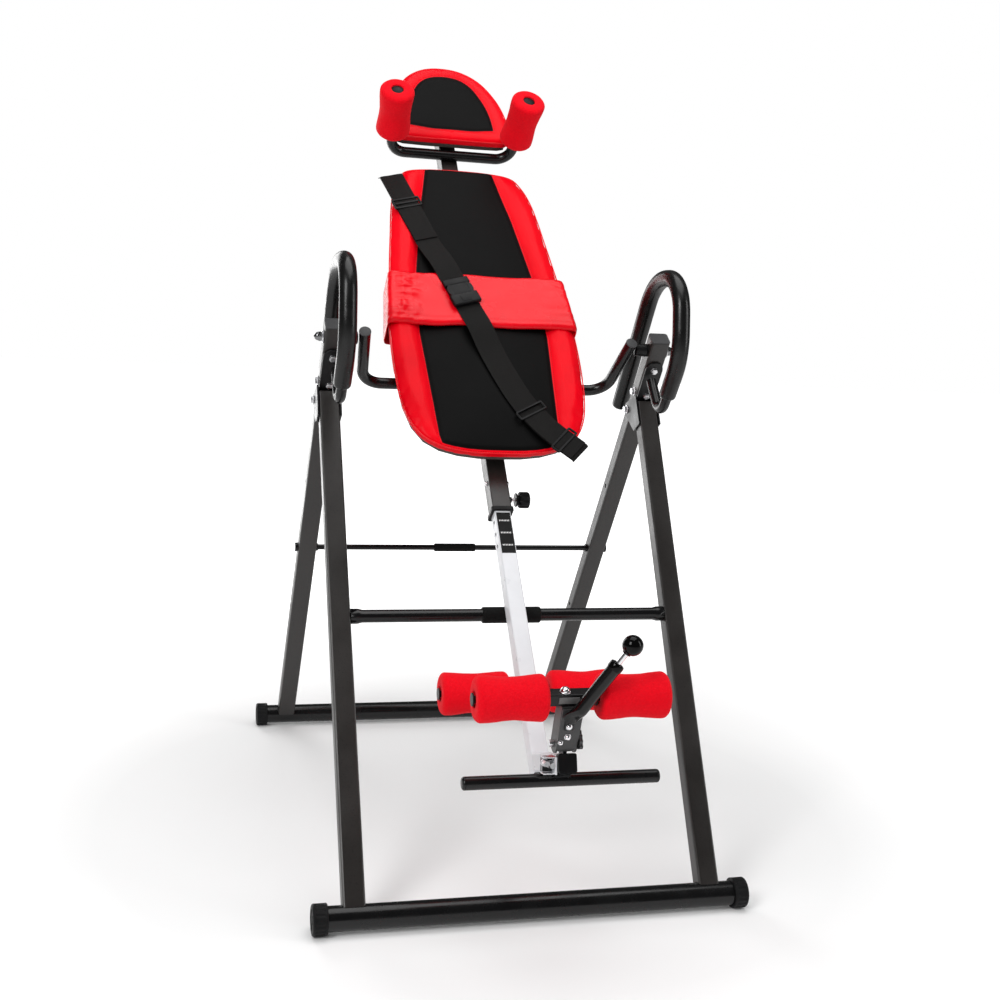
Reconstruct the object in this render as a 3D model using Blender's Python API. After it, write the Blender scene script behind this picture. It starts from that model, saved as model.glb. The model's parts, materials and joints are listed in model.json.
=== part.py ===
"""Inversion table: a folding steel stand, a padded bed that swings in it, and a sliding foot boom.

Units are metres and +Z is up. The table is laid out from a point on the floor under its pivot axis, and
at the end it is slid along Y so that the origin is on the floor, under the middle of its overall box.
+X is the right side of someone looking at the table from its foot end, and the foot end points to -Y.
"""
import math

import bmesh
import bpy
from mathutils import Matrix, Vector

# ---------------------------------------------------------------- driving dimensions
GAP = 0.0003                # between pieces that touch
FRONT_BASE_WIDTH = 0.721     # over the end caps of the two floor tubes
REAR_BASE_WIDTH = 0.752
FRONT_BASE_Y = -0.426
REAR_BASE_Y = 0.601
BASE_TUBE_R = 0.020
BASE_CAP_R = 0.0247
BASE_CAP_LENGTH = 0.024
BASE_CAP_LIP = 0.004        # how far a cap's skirt stands beyond the tube's end
PIVOT_HEIGHT = 0.905
LEG_X = 0.302               # middle of a rear leg at the pivot, from the middle of the table
REAR_FOOT_X = 0.310         # the rear legs spread a little towards the floor, the front legs draw in
FRONT_FOOT_X = 0.295
LEG_WIDTH = 0.036
LEG_DEPTH = 0.030
TUBE_WALL = 0.0015
REAR_LEG_TOP = 0.026        # length of rear leg above the pivot
FOLD_HINGE_DROP = 0.143     # along the rear leg, from the pivot down to the fold hinge
LOCK_BOLT_DROP = 0.098
FRONT_LEG_OFFSET = 0.037    # fold hinge to the front leg's middle line
ROD_HEIGHT = 0.4717         # thin rod between the rear legs, the inversion stop
ROD_R = 0.0055
CROSSBAR_HEIGHT = 0.441     # bar between the front legs, the rest stop
CROSSBAR_FORWARD = 0.0035   # ahead of the front legs' middle line, so that the boom rests on it
CROSSBAR_R = 0.011
CROSSBAR_SLEEVE_LENGTH = 0.104
ROD_SLEEVE_LENGTH = 0.087
CROSSBAR_SLEEVE_R = 0.0145
ROD_SLEEVE_R = 0.0085

RECLINE = math.radians(42.7)   # bed at rest, from upright
MAIN_TUBE_SIZE = 0.036
MAIN_TUBE_FRONT = -0.136       # front face of the main tube, in the bed's own z
MAIN_TUBE_LOW = -0.264
MAIN_TUBE_HIGH = 0.800
BOOM_SIZE = 0.030
BOOM_LOW = -0.768
BOOM_HIGH = 0.050
SELECTOR_Y = -0.2380
HOLE_PITCH = 0.025
HOLES_BELOW = 4
HOLES_ABOVE = 6
CRADLE_TUBE_R = 0.0105
BOARD_BACK = -0.1125
BOARD_THICK = 0.009
CUSHION_THICK = 0.027
HEAD_BAR_Y = 0.634
HEAD_BAR_R = 0.011
HEAD_BAR_HALF = 0.130
HEAD_ROLLER_LOW = -0.072
HEAD_ROLLER_HIGH = 0.040
ROLLER_R = 0.036
ROLLER_WAIST_R = 0.033

REAR_ROLLER_Y = -0.621
REAR_ROLLER_INNER = 0.035
REAR_ROLLER_OUTER = 0.149
FRONT_ROLLER_INNER = 0.040
FRONT_ROLLER_OUTER = 0.149
ARM_PIVOT = Vector((0.0, -0.7747, -0.0107))    # in the bed's own frame
ARM_TILT = math.radians(30.5)                  # from the bed's normal towards the head
ARM_LENGTH = 0.0820
POST_TILT = math.radians(24.0)                 # from the bed's normal towards the feet
POST_START_Y = -0.7506
POST_LENGTH = 0.131
POST_SIZE = 0.028
FOOT_BAR_R = 0.0105
FOOT_BAR_HALF = 0.152
FOOT_BAR_BACK = 0.022                          # from the post's front end
LEVER_DIRECTION = Vector((0.525, 0.477, 0.7055))
LEVER_LENGTH = 0.118
LEVER_R = 0.0103
BALL_R = 0.0155
BALL_CLEARANCE = 0.021                         # bare rod between the lever and the ball

# Smaller parts
BOLT_R = 0.004
AXLE_R = 0.006
BUSH_R = 0.0095
BUSH_FLANGE = 0.0015
BRACKET_WALL = 0.003
CHEEK_GAP = 0.0008          # between a leg's side and the bracket's cheek, as the legs are a little askew
PLATE_THICK = 0.004
PLATE_HIGH = 0.015          # top and bottom of the handle's plate, down the rear leg from the pivot
PLATE_LOW = 0.106
HANDLE_TUBE_R = 0.0095
HANDLE_GRIP_R = 0.0155
HANDLE_X = 0.296
HANDLE_CORNERS = (          # (y, z) above the pivot's foot, and the bend's radius
    ((-0.0030, 0.848), 0.0),
    ((-0.060, 0.786), 0.026),
    ((-0.141, 0.902), 0.110),
    ((-0.121, 1.038), 0.070),
    ((0.010, 1.038), 0.105),
    ((0.165, 0.790), 0.0),
)
GRIP_START = 0.115          # bare length of handle below the foam
PIN_R = 0.003
COLLAR_LENGTH = 0.008
LINER_LENGTH = 0.020
CRADLE_END_X = 0.249
CRADLE_BEND_X = 0.237
CRADLE_END_Z = 0.016
BACKREST_HALF = [(0.0, -0.184), (0.080, -0.178), (0.142, -0.148), (0.175, -0.070), (0.183, 0.080),
                 (0.174, 0.210), (0.160, 0.351), (0.148, 0.450), (0.128, 0.512), (0.096, 0.538), (0.0, 0.545)]
HEADREST_HALF = [(0.0, 0.640), (0.108, 0.641), (0.126, 0.656), (0.129, 0.700), (0.117, 0.765),
                 (0.086, 0.828), (0.045, 0.862), (0.0, 0.871)]
BOARD_INSET = 0.006
PAD_LOW = 0.105
PAD_HIGH = 0.235
PAD_FRONT_THICK = 0.009
PAD_BACK_THICK = 0.004
PAD_HALF_LOW = 0.1840       # inside the pad at its lower and upper edge, close round the cushion
PAD_HALF_HIGH = 0.1735
PAD_SIDE_THICK = 0.003
STRAP_WIDTH = 0.046
STRAP_THICK = 0.0025
STRAP_LINE = ((-0.146, 0.500), (-0.101, 0.361), (-0.052, 0.217), (-0.011, 0.097), (0.038, -0.046),
              (0.083, -0.127), (0.141, -0.186))
KNOB_R = 0.0152
SHAFT_R = 0.006
ARM_PLATE_INNER = 0.0135
ARM_PLATE_THICK = 0.003
ARM_EYE_R = 0.015
STAND_R = 0.011              # plate between the arm's sides that holds the arm's pin
STAND_HALF = 0.003
STAND_FOOT_BACK = 0.020      # its foot on the post, behind and ahead of the pin
STAND_FOOT_AHEAD = 0.002
RATCHET_R = 0.024
RATCHET_THICK = 0.005
TOOTH = 0.002
TOOTH_COUNT = 12
ARM_BAR_HALF = 0.010
ARM_WEB_THICK = 0.003
ARM_FRONT_HALF = 0.0162      # half width of the plate across the arm's front
ARM_FRONT_LOW = 0.004
LEVER_ALONG_ARM = 0.053
LEVER_X = -0.008
LEVER_STAND_OFF = 0.002     # from the front plate, as the lever leans back a little towards the bar
PULL_ROD_R = 0.004

# ---------------------------------------------------------------- worked-out dimensions
PIVOT = Vector((0.0, 0.0, PIVOT_HEIGHT))
FRONT_BASE = Vector((0.0, FRONT_BASE_Y, BASE_CAP_R))
REAR_BASE = Vector((0.0, REAR_BASE_Y, BASE_CAP_R))
REAR_LEG_LENGTH = (PIVOT - REAR_BASE).length
REAR_LEAN = math.atan2(REAR_BASE_Y, PIVOT_HEIGHT - BASE_CAP_R)
REAR_UP = Vector((0.0, -math.sin(REAR_LEAN), math.cos(REAR_LEAN)))
FOLD_HINGE = PIVOT - REAR_UP * FOLD_HINGE_DROP
BASE_TO_HINGE = FOLD_HINGE - FRONT_BASE
FRONT_LEAN = math.asin(FRONT_LEG_OFFSET / BASE_TO_HINGE.length) - math.atan2(BASE_TO_HINGE.y, BASE_TO_HINGE.z)
HINGE_ALONG_LEG = math.sqrt(BASE_TO_HINGE.length ** 2 - FRONT_LEG_OFFSET ** 2)
SPREAD = REAR_LEAN - FRONT_LEAN
LEG_CLEARANCE = 0.001
REAR_SPLAY = math.atan2(REAR_FOOT_X - LEG_X, PIVOT_HEIGHT - BASE_CAP_R)
HINGE_X = LEG_X + (PIVOT_HEIGHT - FOLD_HINGE.z) * math.tan(REAR_SPLAY)
FRONT_SPLAY = math.atan2(FRONT_FOOT_X - HINGE_X, FOLD_HINGE.z - BASE_CAP_R)
FRONT_LEG_TOP = HINGE_ALONG_LEG + (
    math.cos(SPREAD) * (FRONT_LEG_OFFSET - LEG_DEPTH / 2) - LEG_DEPTH / 2 - LEG_CLEARANCE) / math.sin(SPREAD)
MAIN_TUBE_MIDDLE = MAIN_TUBE_FRONT - MAIN_TUBE_SIZE / 2
CRADLE_Z = MAIN_TUBE_FRONT + CRADLE_TUBE_R + GAP
BOARD_FRONT = BOARD_BACK + BOARD_THICK
CUSHION_BACK = BOARD_FRONT + GAP
CUSHION_FRONT = CUSHION_BACK + CUSHION_THICK
ARM_DIRECTION = Vector((0.0, math.sin(ARM_TILT), math.cos(ARM_TILT)))
ARM_ACROSS = Vector((0.0, math.cos(ARM_TILT), -math.sin(ARM_TILT)))
FRONT_ROLLER_AXIS = ARM_PIVOT + ARM_DIRECTION * ARM_LENGTH
POST_DIRECTION = Vector((0.0, -math.sin(POST_TILT), math.cos(POST_TILT)))
POST_ACROSS = Vector((0.0, math.cos(POST_TILT), math.sin(POST_TILT)))
BOOM_FRONT = MAIN_TUBE_MIDDLE + BOOM_SIZE / 2
POST_START = Vector((0.0, POST_START_Y, BOOM_FRONT))

X_AXIS = Vector((1.0, 0.0, 0.0))
Y_AXIS = Vector((0.0, 1.0, 0.0))
Z_AXIS = Vector((0.0, 0.0, 1.0))
SIDES = (("left", -1), ("right", 1))

# Colour, roughness and metallic value of each finish.
BLACK_PAINT = ((0.022, 0.022, 0.023), 0.42, 0.0)
WHITE_PAINT = ((0.80, 0.81, 0.83), 0.35, 0.0)
GREY_STEEL = ((0.16, 0.16, 0.165), 0.40, 0.6)
ZINC = ((0.62, 0.62, 0.64), 0.25, 1.0)
BLACK_PLASTIC = ((0.012, 0.012, 0.013), 0.45, 0.0)
GLOSS_PLASTIC = ((0.010, 0.010, 0.011), 0.12, 0.0)
BLACK_FOAM = ((0.018, 0.018, 0.019), 0.75, 0.0)
RED_FOAM = ((0.62, 0.010, 0.022), 0.85, 0.0)
RED_VINYL = ((0.72, 0.010, 0.018), 0.38, 0.0)
BLACK_VINYL = ((0.010, 0.010, 0.010), 0.40, 0.0)
WEBBING = ((0.014, 0.013, 0.013), 0.80, 0.0)
PLYWOOD = ((0.05, 0.045, 0.04), 0.70, 0.0)


# ---------------------------------------------------------------- building helpers
def clear_scene():
    for old in list(bpy.data.objects):
        bpy.data.objects.remove(old, do_unlink=True)


def circle(radius, steps=16):
    """Points round a circle, turned half a step so that a flat side faces down."""
    turn = 2 * math.pi / steps
    return [(radius * math.sin((i + 0.5) * turn), -radius * math.cos((i + 0.5) * turn)) for i in range(steps)]


def hexagon(across_flats, steps=12):
    """Hexagon with two points to a side, so that it joins up with a 12-sided circle."""
    corner = across_flats / math.sqrt(3)
    points = []
    for i in range(6):
        here = Vector((math.cos(i * math.pi / 3), math.sin(i * math.pi / 3))) * corner
        there = Vector((math.cos((i + 1) * math.pi / 3), math.sin((i + 1) * math.pi / 3))) * corner
        points.append(tuple(here))
        points.append(tuple((here + there) / 2))
    return points[:steps]


def rounded_rectangle(width, depth, radius, steps=2):
    """Corners as arcs, anticlockwise from the lower right."""
    points = []
    for i, (sx, sy) in enumerate(((1, -1), (1, 1), (-1, 1), (-1, -1))):
        centre = Vector((sx * (width / 2 - radius), sy * (depth / 2 - radius)))
        for k in range(steps + 1):
            angle = (i - 1) * math.pi / 2 + k * math.pi / 2 / steps
            points.append(tuple(centre + Vector((math.cos(angle), math.sin(angle))) * radius))
    return points


def curve_point(four, t):
    """Point of the Catmull-Rom curve between the second and third of four points."""
    p0, p1, p2, p3 = four
    return 0.5 * (2 * p1 + (p2 - p0) * t + (2 * p0 - 5 * p1 + 4 * p2 - p3) * t ** 2
                  + (3 * p1 - p0 - 3 * p2 + p3) * t ** 3)


def smooth_outline(points, steps=2):
    """Closed curve through the points, for padded shapes."""
    count = len(points)
    out = []
    for i in range(count):
        four = [Vector(points[(i + k - 1) % count]) for k in range(4)]
        out += [tuple(curve_point(four, k / steps)) for k in range(steps)]
    return out


def mirrored(half):
    """Closes a right-hand half outline, listed from bottom centre to top centre."""
    return half + [(-x, y) for x, y in reversed(half[1:-1])]


def place(outline, origin, u_axis, v_axis):
    return [Vector(origin) + u_axis * u + v_axis * v for u, v in outline]


def skin(rings, closed=False):
    """Joins rings of equal length into one closed surface; closed joins the last ring to the first."""
    bm = bmesh.new()
    loops = [[bm.verts.new(point) for point in ring] for ring in rings]
    pairs = list(zip(loops, loops[1:]))
    if closed:
        pairs.append((loops[-1], loops[0]))
    else:
        bm.faces.new(loops[0])
        bm.faces.new(loops[-1])
    for lower, upper in pairs:
        for i, vert in enumerate(lower):
            j = (i + 1) % len(lower)
            bm.faces.new((vert, lower[j], upper[j], upper[i]))
    bmesh.ops.recalc_face_normals(bm, faces=bm.faces)
    return bm


def bar_along(axis, outline, start, end, inner=None):
    """Straight bar of one section from start to end along an axis; an inner outline makes it a tube."""
    u_axis, v_axis = across(axis)
    rings = [place(outline, axis * start, u_axis, v_axis), place(outline, axis * end, u_axis, v_axis)]
    if inner is None:
        return skin(rings)
    rings += [place(inner, axis * end, u_axis, v_axis), place(inner, axis * start, u_axis, v_axis)]
    return skin(rings, closed=True)


def across(axis):
    """The two directions of a section's plane: X runs first wherever it can."""
    if abs(axis.x) > 0.9:
        return Y_AXIS, Z_AXIS
    return X_AXIS, axis.cross(X_AXIS)


def turned(profile, axis=Z_AXIS, steps=16, closed=False):
    """Round piece from (distance along the axis, radius) pairs."""
    u_axis, v_axis = across(axis)
    rings = [place(circle(radius, steps), axis * along, u_axis, v_axis) for along, radius in profile]
    return skin(rings, closed)


def box(low, high):
    low, high = Vector(low), Vector(high)
    bm = bmesh.new()
    size = Matrix.Diagonal((*(high - low), 1.0))
    bmesh.ops.create_cube(bm, size=1.0, matrix=Matrix.Translation((low + high) / 2) @ size)
    return bm


def prism(outline, low, high, u_axis=X_AXIS, v_axis=Y_AXIS, along=Z_AXIS):
    """Flat outline extruded from low to high along a third axis."""
    bm = bmesh.new()
    base = bm.faces.new([bm.verts.new(p + along * low) for p in place(outline, (0, 0, 0), u_axis, v_axis)])
    grown = bmesh.ops.extrude_face_region(bm, geom=[base])
    tops = [item for item in grown["geom"] if isinstance(item, bmesh.types.BMVert)]
    bmesh.ops.translate(bm, verts=tops, vec=along * (high - low))
    bmesh.ops.recalc_face_normals(bm, faces=bm.faces)
    return bm


def rounded_path(corners, step=math.radians(20)):
    """Polyline with each inner corner replaced by an arc; corners are (point, radius)."""
    points = [Vector(corners[0][0])]
    for (before, _), (corner, radius), (after, _) in zip(corners, corners[1:], corners[2:]):
        corner = Vector(corner)
        into = (corner - Vector(before)).normalized()
        out = (Vector(after) - corner).normalized()
        turn = into.angle(out)
        start = corner - into * radius * math.tan(turn / 2)
        side = (out - into * into.dot(out)).normalized()
        count = max(2, round(turn / step))
        for k in range(count + 1):
            angle = turn * k / count
            points.append(start + into * radius * math.sin(angle) + side * radius * (1 - math.cos(angle)))
    points.append(Vector(corners[-1][0]))
    return points


def path_rings(points, radius, normal, steps):
    """Circles of one radius along a path that lies in the plane with the given normal."""
    rings = []
    for i, point in enumerate(points):
        ahead = points[min(i + 1, len(points) - 1)]
        behind = points[max(i - 1, 0)]
        side = (ahead - behind).normalized().cross(normal)
        rings.append(place(circle(radius, steps), point, normal, side))
    return rings


def bent_tube(points, radius, normal, inner=None, steps=10):
    """Round bar along a flat path, or a tube open at both ends if inner is given."""
    rings = path_rings(points, radius, normal, steps)
    if inner is None:
        return skin(rings)
    return skin(rings + path_rings(points, inner, normal, steps)[::-1], closed=True)


def material(name, finish):
    colour, roughness, metallic = finish
    made = bpy.data.materials.new(name + "_finish")
    made.use_nodes = True
    shader = made.node_tree.nodes["Principled BSDF"]
    shader.inputs["Base Color"].default_value = (*colour, 1.0)
    shader.inputs["Roughness"].default_value = roughness
    shader.inputs["Metallic"].default_value = metallic
    return made


def pivot_empty(name, location, parent=None, turn=0.0):
    """Marks a joint: the pieces that move with it are its children."""
    empty = bpy.data.objects.new(name, None)
    empty.location = location
    empty.rotation_euler.x = turn
    empty.parent = parent
    bpy.context.scene.collection.objects.link(empty)
    return empty


def add(name, bm, finish, parent=None, location=(0.0, 0.0, 0.0), turn=0.0):
    mesh = bpy.data.meshes.new(name)
    bm.to_mesh(mesh)
    bm.free()
    mesh.shade_smooth()
    mesh.set_sharp_from_angle(angle=math.radians(35))
    mesh.materials.append(material(name, finish))
    piece = bpy.data.objects.new(name, mesh)
    piece.location = location
    piece.rotation_euler.x = turn
    piece.parent = parent
    bpy.context.scene.collection.objects.link(piece)
    return piece


def tool(piece, bm, operation):
    """Cuts bm out of a piece, or joins it on, with an exact Boolean."""
    mesh = bpy.data.meshes.new(piece.name + "_tool")
    bm.to_mesh(mesh)
    bm.free()
    shape = bpy.data.objects.new(mesh.name, mesh)
    shape.location = piece.location
    shape.rotation_euler = piece.rotation_euler
    shape.parent = piece.parent
    shape.hide_render = True
    shape.display_type = "WIRE"
    bpy.context.scene.collection.objects.link(shape)
    boolean = piece.modifiers.new(mesh.name, "BOOLEAN")
    boolean.operation = operation
    boolean.solver = "EXACT"
    boolean.object = shape


def cut(piece, bm):
    tool(piece, bm, "DIFFERENCE")


def join(piece, bm):
    tool(piece, bm, "UNION")


def rods(places, radius, low, high, axis=X_AXIS, steps=8):
    """Several parallel round rods in one mesh, for drilling; their flats, not corners, are at the radius."""
    bm = bmesh.new()
    radius /= math.cos(math.pi / steps)
    turn = Z_AXIS.rotation_difference(axis).to_matrix().to_4x4()
    for point in places:
        middle = Matrix.Translation(Vector(point) + axis * (low + high) / 2)
        bmesh.ops.create_cone(bm, cap_ends=True, segments=steps, radius1=radius, radius2=radius,
                              depth=high - low, matrix=middle @ turn)
    return bm


def bolt(grip_low, grip_high, shank_r, across_flats, head=0.005, washer_r=None, washer=0.0012):
    """Hexagon bolt, washers and nut along X, clamping what lies between grip_low and grip_high."""
    washer_r = washer_r or across_flats * 0.68
    head_ring = hexagon(across_flats)
    round_ring = circle(washer_r, 12)
    shank_ring = circle(shank_r, 12)
    low, high = grip_low - GAP, grip_high + GAP
    stations = (
        (low - washer - head, head_ring), (low - washer, head_ring), (low - washer, round_ring),
        (low, round_ring), (low, shank_ring), (high, shank_ring), (high, round_ring),
        (high + washer, round_ring), (high + washer, head_ring), (high + washer + head, head_ring))
    aligned = [rotated_to_match(ring) for _, ring in stations]
    rings = [place(ring, (x, 0.0, 0.0), Y_AXIS, Z_AXIS) for (x, _), ring in zip(stations, aligned)]
    return skin(rings)


def rotated_to_match(ring):
    """Starts a ring at its point nearest the +u axis, so that rings of two shapes pair up."""
    start = min(range(len(ring)), key=lambda i: abs(math.atan2(ring[i][1], ring[i][0])))
    return ring[start:] + ring[:start]


# ---------------------------------------------------------------- stand
def rear_leg_x(height):
    return LEG_X + (PIVOT_HEIGHT - height) * math.tan(REAR_SPLAY)


def front_leg_x(height):
    return HINGE_X + (FOLD_HINGE.z - height) * math.tan(FRONT_SPLAY)


def on_rear_leg(name, side, bm, finish):
    """Adds a piece drawn in the leg's own frame: Z up the leg from the floor tube, -Y out of its front."""
    piece = add(name, bm, finish, None, (side * REAR_FOOT_X, REAR_BASE_Y, BASE_CAP_R), REAR_LEAN)
    piece.rotation_euler.y = -side * REAR_SPLAY
    return piece


def base_tube(name, width, centre, parent=None):
    inner = circle(BASE_TUBE_R - TUBE_WALL, 24)
    half = width / 2 - BASE_CAP_LIP
    bm = bar_along(X_AXIS, circle(BASE_TUBE_R, 24), -half, half, inner)
    return add(name, bm, BLACK_PAINT, parent, centre)


def base_cap(name, side, width, centre, parent=None):
    """Plastic end cap: a skirt over the tube, closed at the outer end, with a flat to stand on."""
    outer_end = side * width / 2
    skirt_end = side * (width / 2 - BASE_CAP_LENGTH)
    floor_r = BASE_CAP_R / math.cos(math.pi / 24)
    bore_end = side * (width / 2 - BASE_CAP_LIP + GAP)
    profile = ((outer_end, floor_r * 0.92), (outer_end - side * 0.002, floor_r), (skirt_end, floor_r),
               (skirt_end, BASE_TUBE_R + GAP), (bore_end, BASE_TUBE_R + GAP))
    return add(name, turned(profile, X_AXIS, 24), BLACK_PLASTIC, parent, centre)


def leg_section():
    outer = rounded_rectangle(LEG_WIDTH, LEG_DEPTH, 0.004)
    inner = rounded_rectangle(LEG_WIDTH - 2 * TUBE_WALL, LEG_DEPTH - 2 * TUBE_WALL, 0.0025)
    return outer, inner


def saddle():
    """What a leg's lower end loses to fit on the round floor tube."""
    return rods([(0, 0, 0)], BASE_TUBE_R + GAP, -LEG_WIDTH, LEG_WIDTH, steps=24)


def leg_holes(piece, holes):
    """Round holes through both side walls; holes are (distance up the leg, radius)."""
    for along, radius in holes:
        cut(piece, rods([(0, 0, along)], radius, -LEG_WIDTH, LEG_WIDTH))


def rear_leg(side_name, side):
    outer, inner = leg_section()
    bm = bar_along(Z_AXIS, outer, 0.0, REAR_LEG_LENGTH + REAR_LEG_TOP, inner)
    leg = on_rear_leg(f"rear_leg_{side_name}", side, bm, BLACK_PAINT)
    cut(leg, saddle())
    rod_along = (ROD_HEIGHT - BASE_CAP_R) / math.cos(REAR_LEAN)
    spare_holes = [(REAR_LEG_LENGTH * share, 0.004) for share in (0.344, 0.677)]
    leg_holes(leg, [(REAR_LEG_LENGTH, BUSH_R + GAP), (REAR_LEG_LENGTH - FOLD_HINGE_DROP, BOLT_R + GAP),
                    (REAR_LEG_LENGTH - LOCK_BOLT_DROP, BOLT_R + GAP), (rod_along, ROD_R + GAP)] + spare_holes)


def rear_leg_cap(side_name, side):
    """Plastic plug in the top of a rear leg."""
    top = REAR_LEG_LENGTH + REAR_LEG_TOP
    plug = rounded_rectangle(LEG_WIDTH - 2 * TUBE_WALL - 2 * GAP, LEG_DEPTH - 2 * TUBE_WALL - 2 * GAP, 0.002)
    cover = rounded_rectangle(LEG_WIDTH, LEG_DEPTH, 0.004)
    stations = ((top - 0.008, plug), (top + GAP, plug), (top + GAP, cover), (top + 0.003, cover))
    rings = [place(ring, (0, 0, z), X_AXIS, Y_AXIS) for z, ring in stations]
    on_rear_leg(f"rear_leg_cap_{side_name}", side, skin(rings), BLACK_PLASTIC)


def rear_rod():
    """Thin rod between the rear legs, with a flat end nut outside each."""
    inner_face = rear_leg_x(ROD_HEIGHT) - LEG_WIDTH / 2
    outer_face = rear_leg_x(ROD_HEIGHT) + LEG_WIDTH / 2
    profile = [(outer_face + 0.006, 0.009), (outer_face + GAP, 0.009), (outer_face + GAP, ROD_R),
               (inner_face - GAP, ROD_R), (inner_face - GAP, 0.008), (inner_face - 0.004, 0.008),
               (inner_face - 0.004, ROD_R)]
    whole = profile + [(-x, r) for x, r in reversed(profile)]
    add("rear_rod", turned(whole, X_AXIS, 12), BLACK_PAINT, None, rod_centre())


def rod_centre():
    share = (PIVOT_HEIGHT - ROD_HEIGHT) / (PIVOT_HEIGHT - BASE_CAP_R)
    return Vector((0.0, REAR_BASE_Y * share, ROD_HEIGHT))


def sleeve(name, inner_r, outer_r, length, centre, parent=None):
    half = length / 2
    profile = ((-half, outer_r), (half, outer_r), (half, inner_r + GAP), (-half, inner_r + GAP))
    return add(name, turned(profile, X_AXIS, 16, closed=True), BLACK_FOAM, parent, centre)


def pivot_bush(side_name, side):
    """Flanged bush in the rear leg that the bed's axle turns in."""
    inner_face = LEG_X - LEG_WIDTH / 2
    bore = AXLE_R + GAP
    profile = ((inner_face - GAP - BUSH_FLANGE, 0.012), (inner_face - GAP, 0.012), (inner_face - GAP, BUSH_R),
               (LEG_X + LEG_WIDTH / 2, BUSH_R), (LEG_X + LEG_WIDTH / 2, bore),
               (inner_face - GAP - BUSH_FLANGE, bore))
    bm = turned([(side * x, r) for x, r in profile], X_AXIS, 16, closed=True)
    add(f"pivot_bush_{side_name}", bm, BLACK_PLASTIC, None, PIVOT)


def stand_bolts(side_name, side):
    """The fold hinge's bolt goes through bracket and leg, the lock bolt above it through the leg only."""
    bracket_half = LEG_WIDTH / 2 + CHEEK_GAP + BRACKET_WALL
    add(f"hinge_bolt_{side_name}", bolt(-bracket_half, bracket_half, BOLT_R, 0.012), ZINC,
        None, (side * HINGE_X, FOLD_HINGE.y, FOLD_HINGE.z))
    lock = PIVOT - REAR_UP * LOCK_BOLT_DROP
    add(f"lock_bolt_{side_name}", bolt(-LEG_WIDTH / 2, LEG_WIDTH / 2, BOLT_R, 0.012), ZINC,
        None, (side * rear_leg_x(lock.z), lock.y, lock.z))


# ---------------------------------------------------------------- hand grips on the stand


def handle_path():
    return rounded_path([((0.0, y, z), radius) for (y, z), radius in HANDLE_CORNERS])


def path_from(points, distance):
    """The rest of a path after a given distance along it."""
    for i, (here, there) in enumerate(zip(points, points[1:])):
        length = (there - here).length
        if distance < length:
            return [here.lerp(there, distance / length)] + points[i + 1:]
        distance -= length
    return points


def handle(side_name, side):
    """Bent tube loop, welded to its plate at the front end and free at the back end."""
    bm = bent_tube(handle_path(), HANDLE_TUBE_R, X_AXIS, HANDLE_TUBE_R - TUBE_WALL)
    add(f"handle_tube_{side_name}", bm, BLACK_PAINT, None, (side * HANDLE_X, 0.0, 0.0))
    foam_path = path_from(handle_path(), GRIP_START)
    end = foam_path[-1] + (foam_path[-1] - foam_path[-2]).normalized() * 0.004
    foam = bent_tube(foam_path[:-1] + [end], HANDLE_GRIP_R, X_AXIS, HANDLE_TUBE_R + GAP)
    add(f"handle_grip_{side_name}", foam, BLACK_FOAM, None, (side * HANDLE_X, 0.0, 0.0))


def handle_plate(side_name, side):
    """Plate on the front face of the rear leg, with a rounded top and two bolt heads."""
    half = LEG_WIDTH / 2 - 0.001
    top = REAR_LEG_LENGTH - PLATE_HIGH
    low = REAR_LEG_LENGTH - PLATE_LOW
    arc = [(half * math.cos(a), top - half + half * math.sin(a)) for a in (k * math.pi / 8 for k in range(9))]
    outline = [(-half, low), (half, low)] + arc
    front = -LEG_DEPTH / 2 - GAP
    bm = prism(outline, front - PLATE_THICK, front, X_AXIS, Z_AXIS, Y_AXIS)
    plate = on_rear_leg(f"handle_plate_{side_name}", side, bm, BLACK_PAINT)
    for drop in (PLATE_HIGH + 0.018, PLATE_LOW - 0.012):
        u, v = X_AXIS, Z_AXIS
        at = Vector((0.0, 0.0, REAR_LEG_LENGTH - drop))
        rings = [place(hexagon(0.011), at + Y_AXIS * y, u, v)
                 for y in (front - PLATE_THICK - 0.0045, front - PLATE_THICK / 2)]
        join(plate, skin(rings))


# ---------------------------------------------------------------- front frame
def front_leg(side_name, side, fold):
    outer, inner = leg_section()
    place_at = Vector((side * FRONT_FOOT_X, FRONT_BASE_Y, BASE_CAP_R)) - fold.location
    bm = bar_along(Z_AXIS, outer, 0.0, FRONT_LEG_TOP, inner)
    leg = add(f"front_leg_{side_name}", bm, BLACK_PAINT, fold, place_at, FRONT_LEAN)
    leg.rotation_euler.y = -side * FRONT_SPLAY
    cut(leg, saddle())


def crossbar(fold):
    """Bar between the front legs, flared where it is welded on."""
    end = front_leg_x(CROSSBAR_HEIGHT) - LEG_WIDTH / 2 - 2 * GAP
    profile = [(end, CROSSBAR_R + 0.002), (end - 0.012, CROSSBAR_R + 0.002), (end - 0.020, CROSSBAR_R)]
    whole = profile + [(-x, r) for x, r in reversed(profile)]
    add("front_crossbar", turned(whole, X_AXIS, 16), BLACK_PAINT, fold, crossbar_centre() - fold.location)


def crossbar_centre():
    up = Vector((0.0, -math.sin(FRONT_LEAN), math.cos(FRONT_LEAN)))
    front = Vector((0.0, -math.cos(FRONT_LEAN), -math.sin(FRONT_LEAN)))
    on_leg = FRONT_BASE + up * (CROSSBAR_HEIGHT - BASE_CAP_R) / up.z
    return on_leg + front * CROSSBAR_FORWARD


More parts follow.
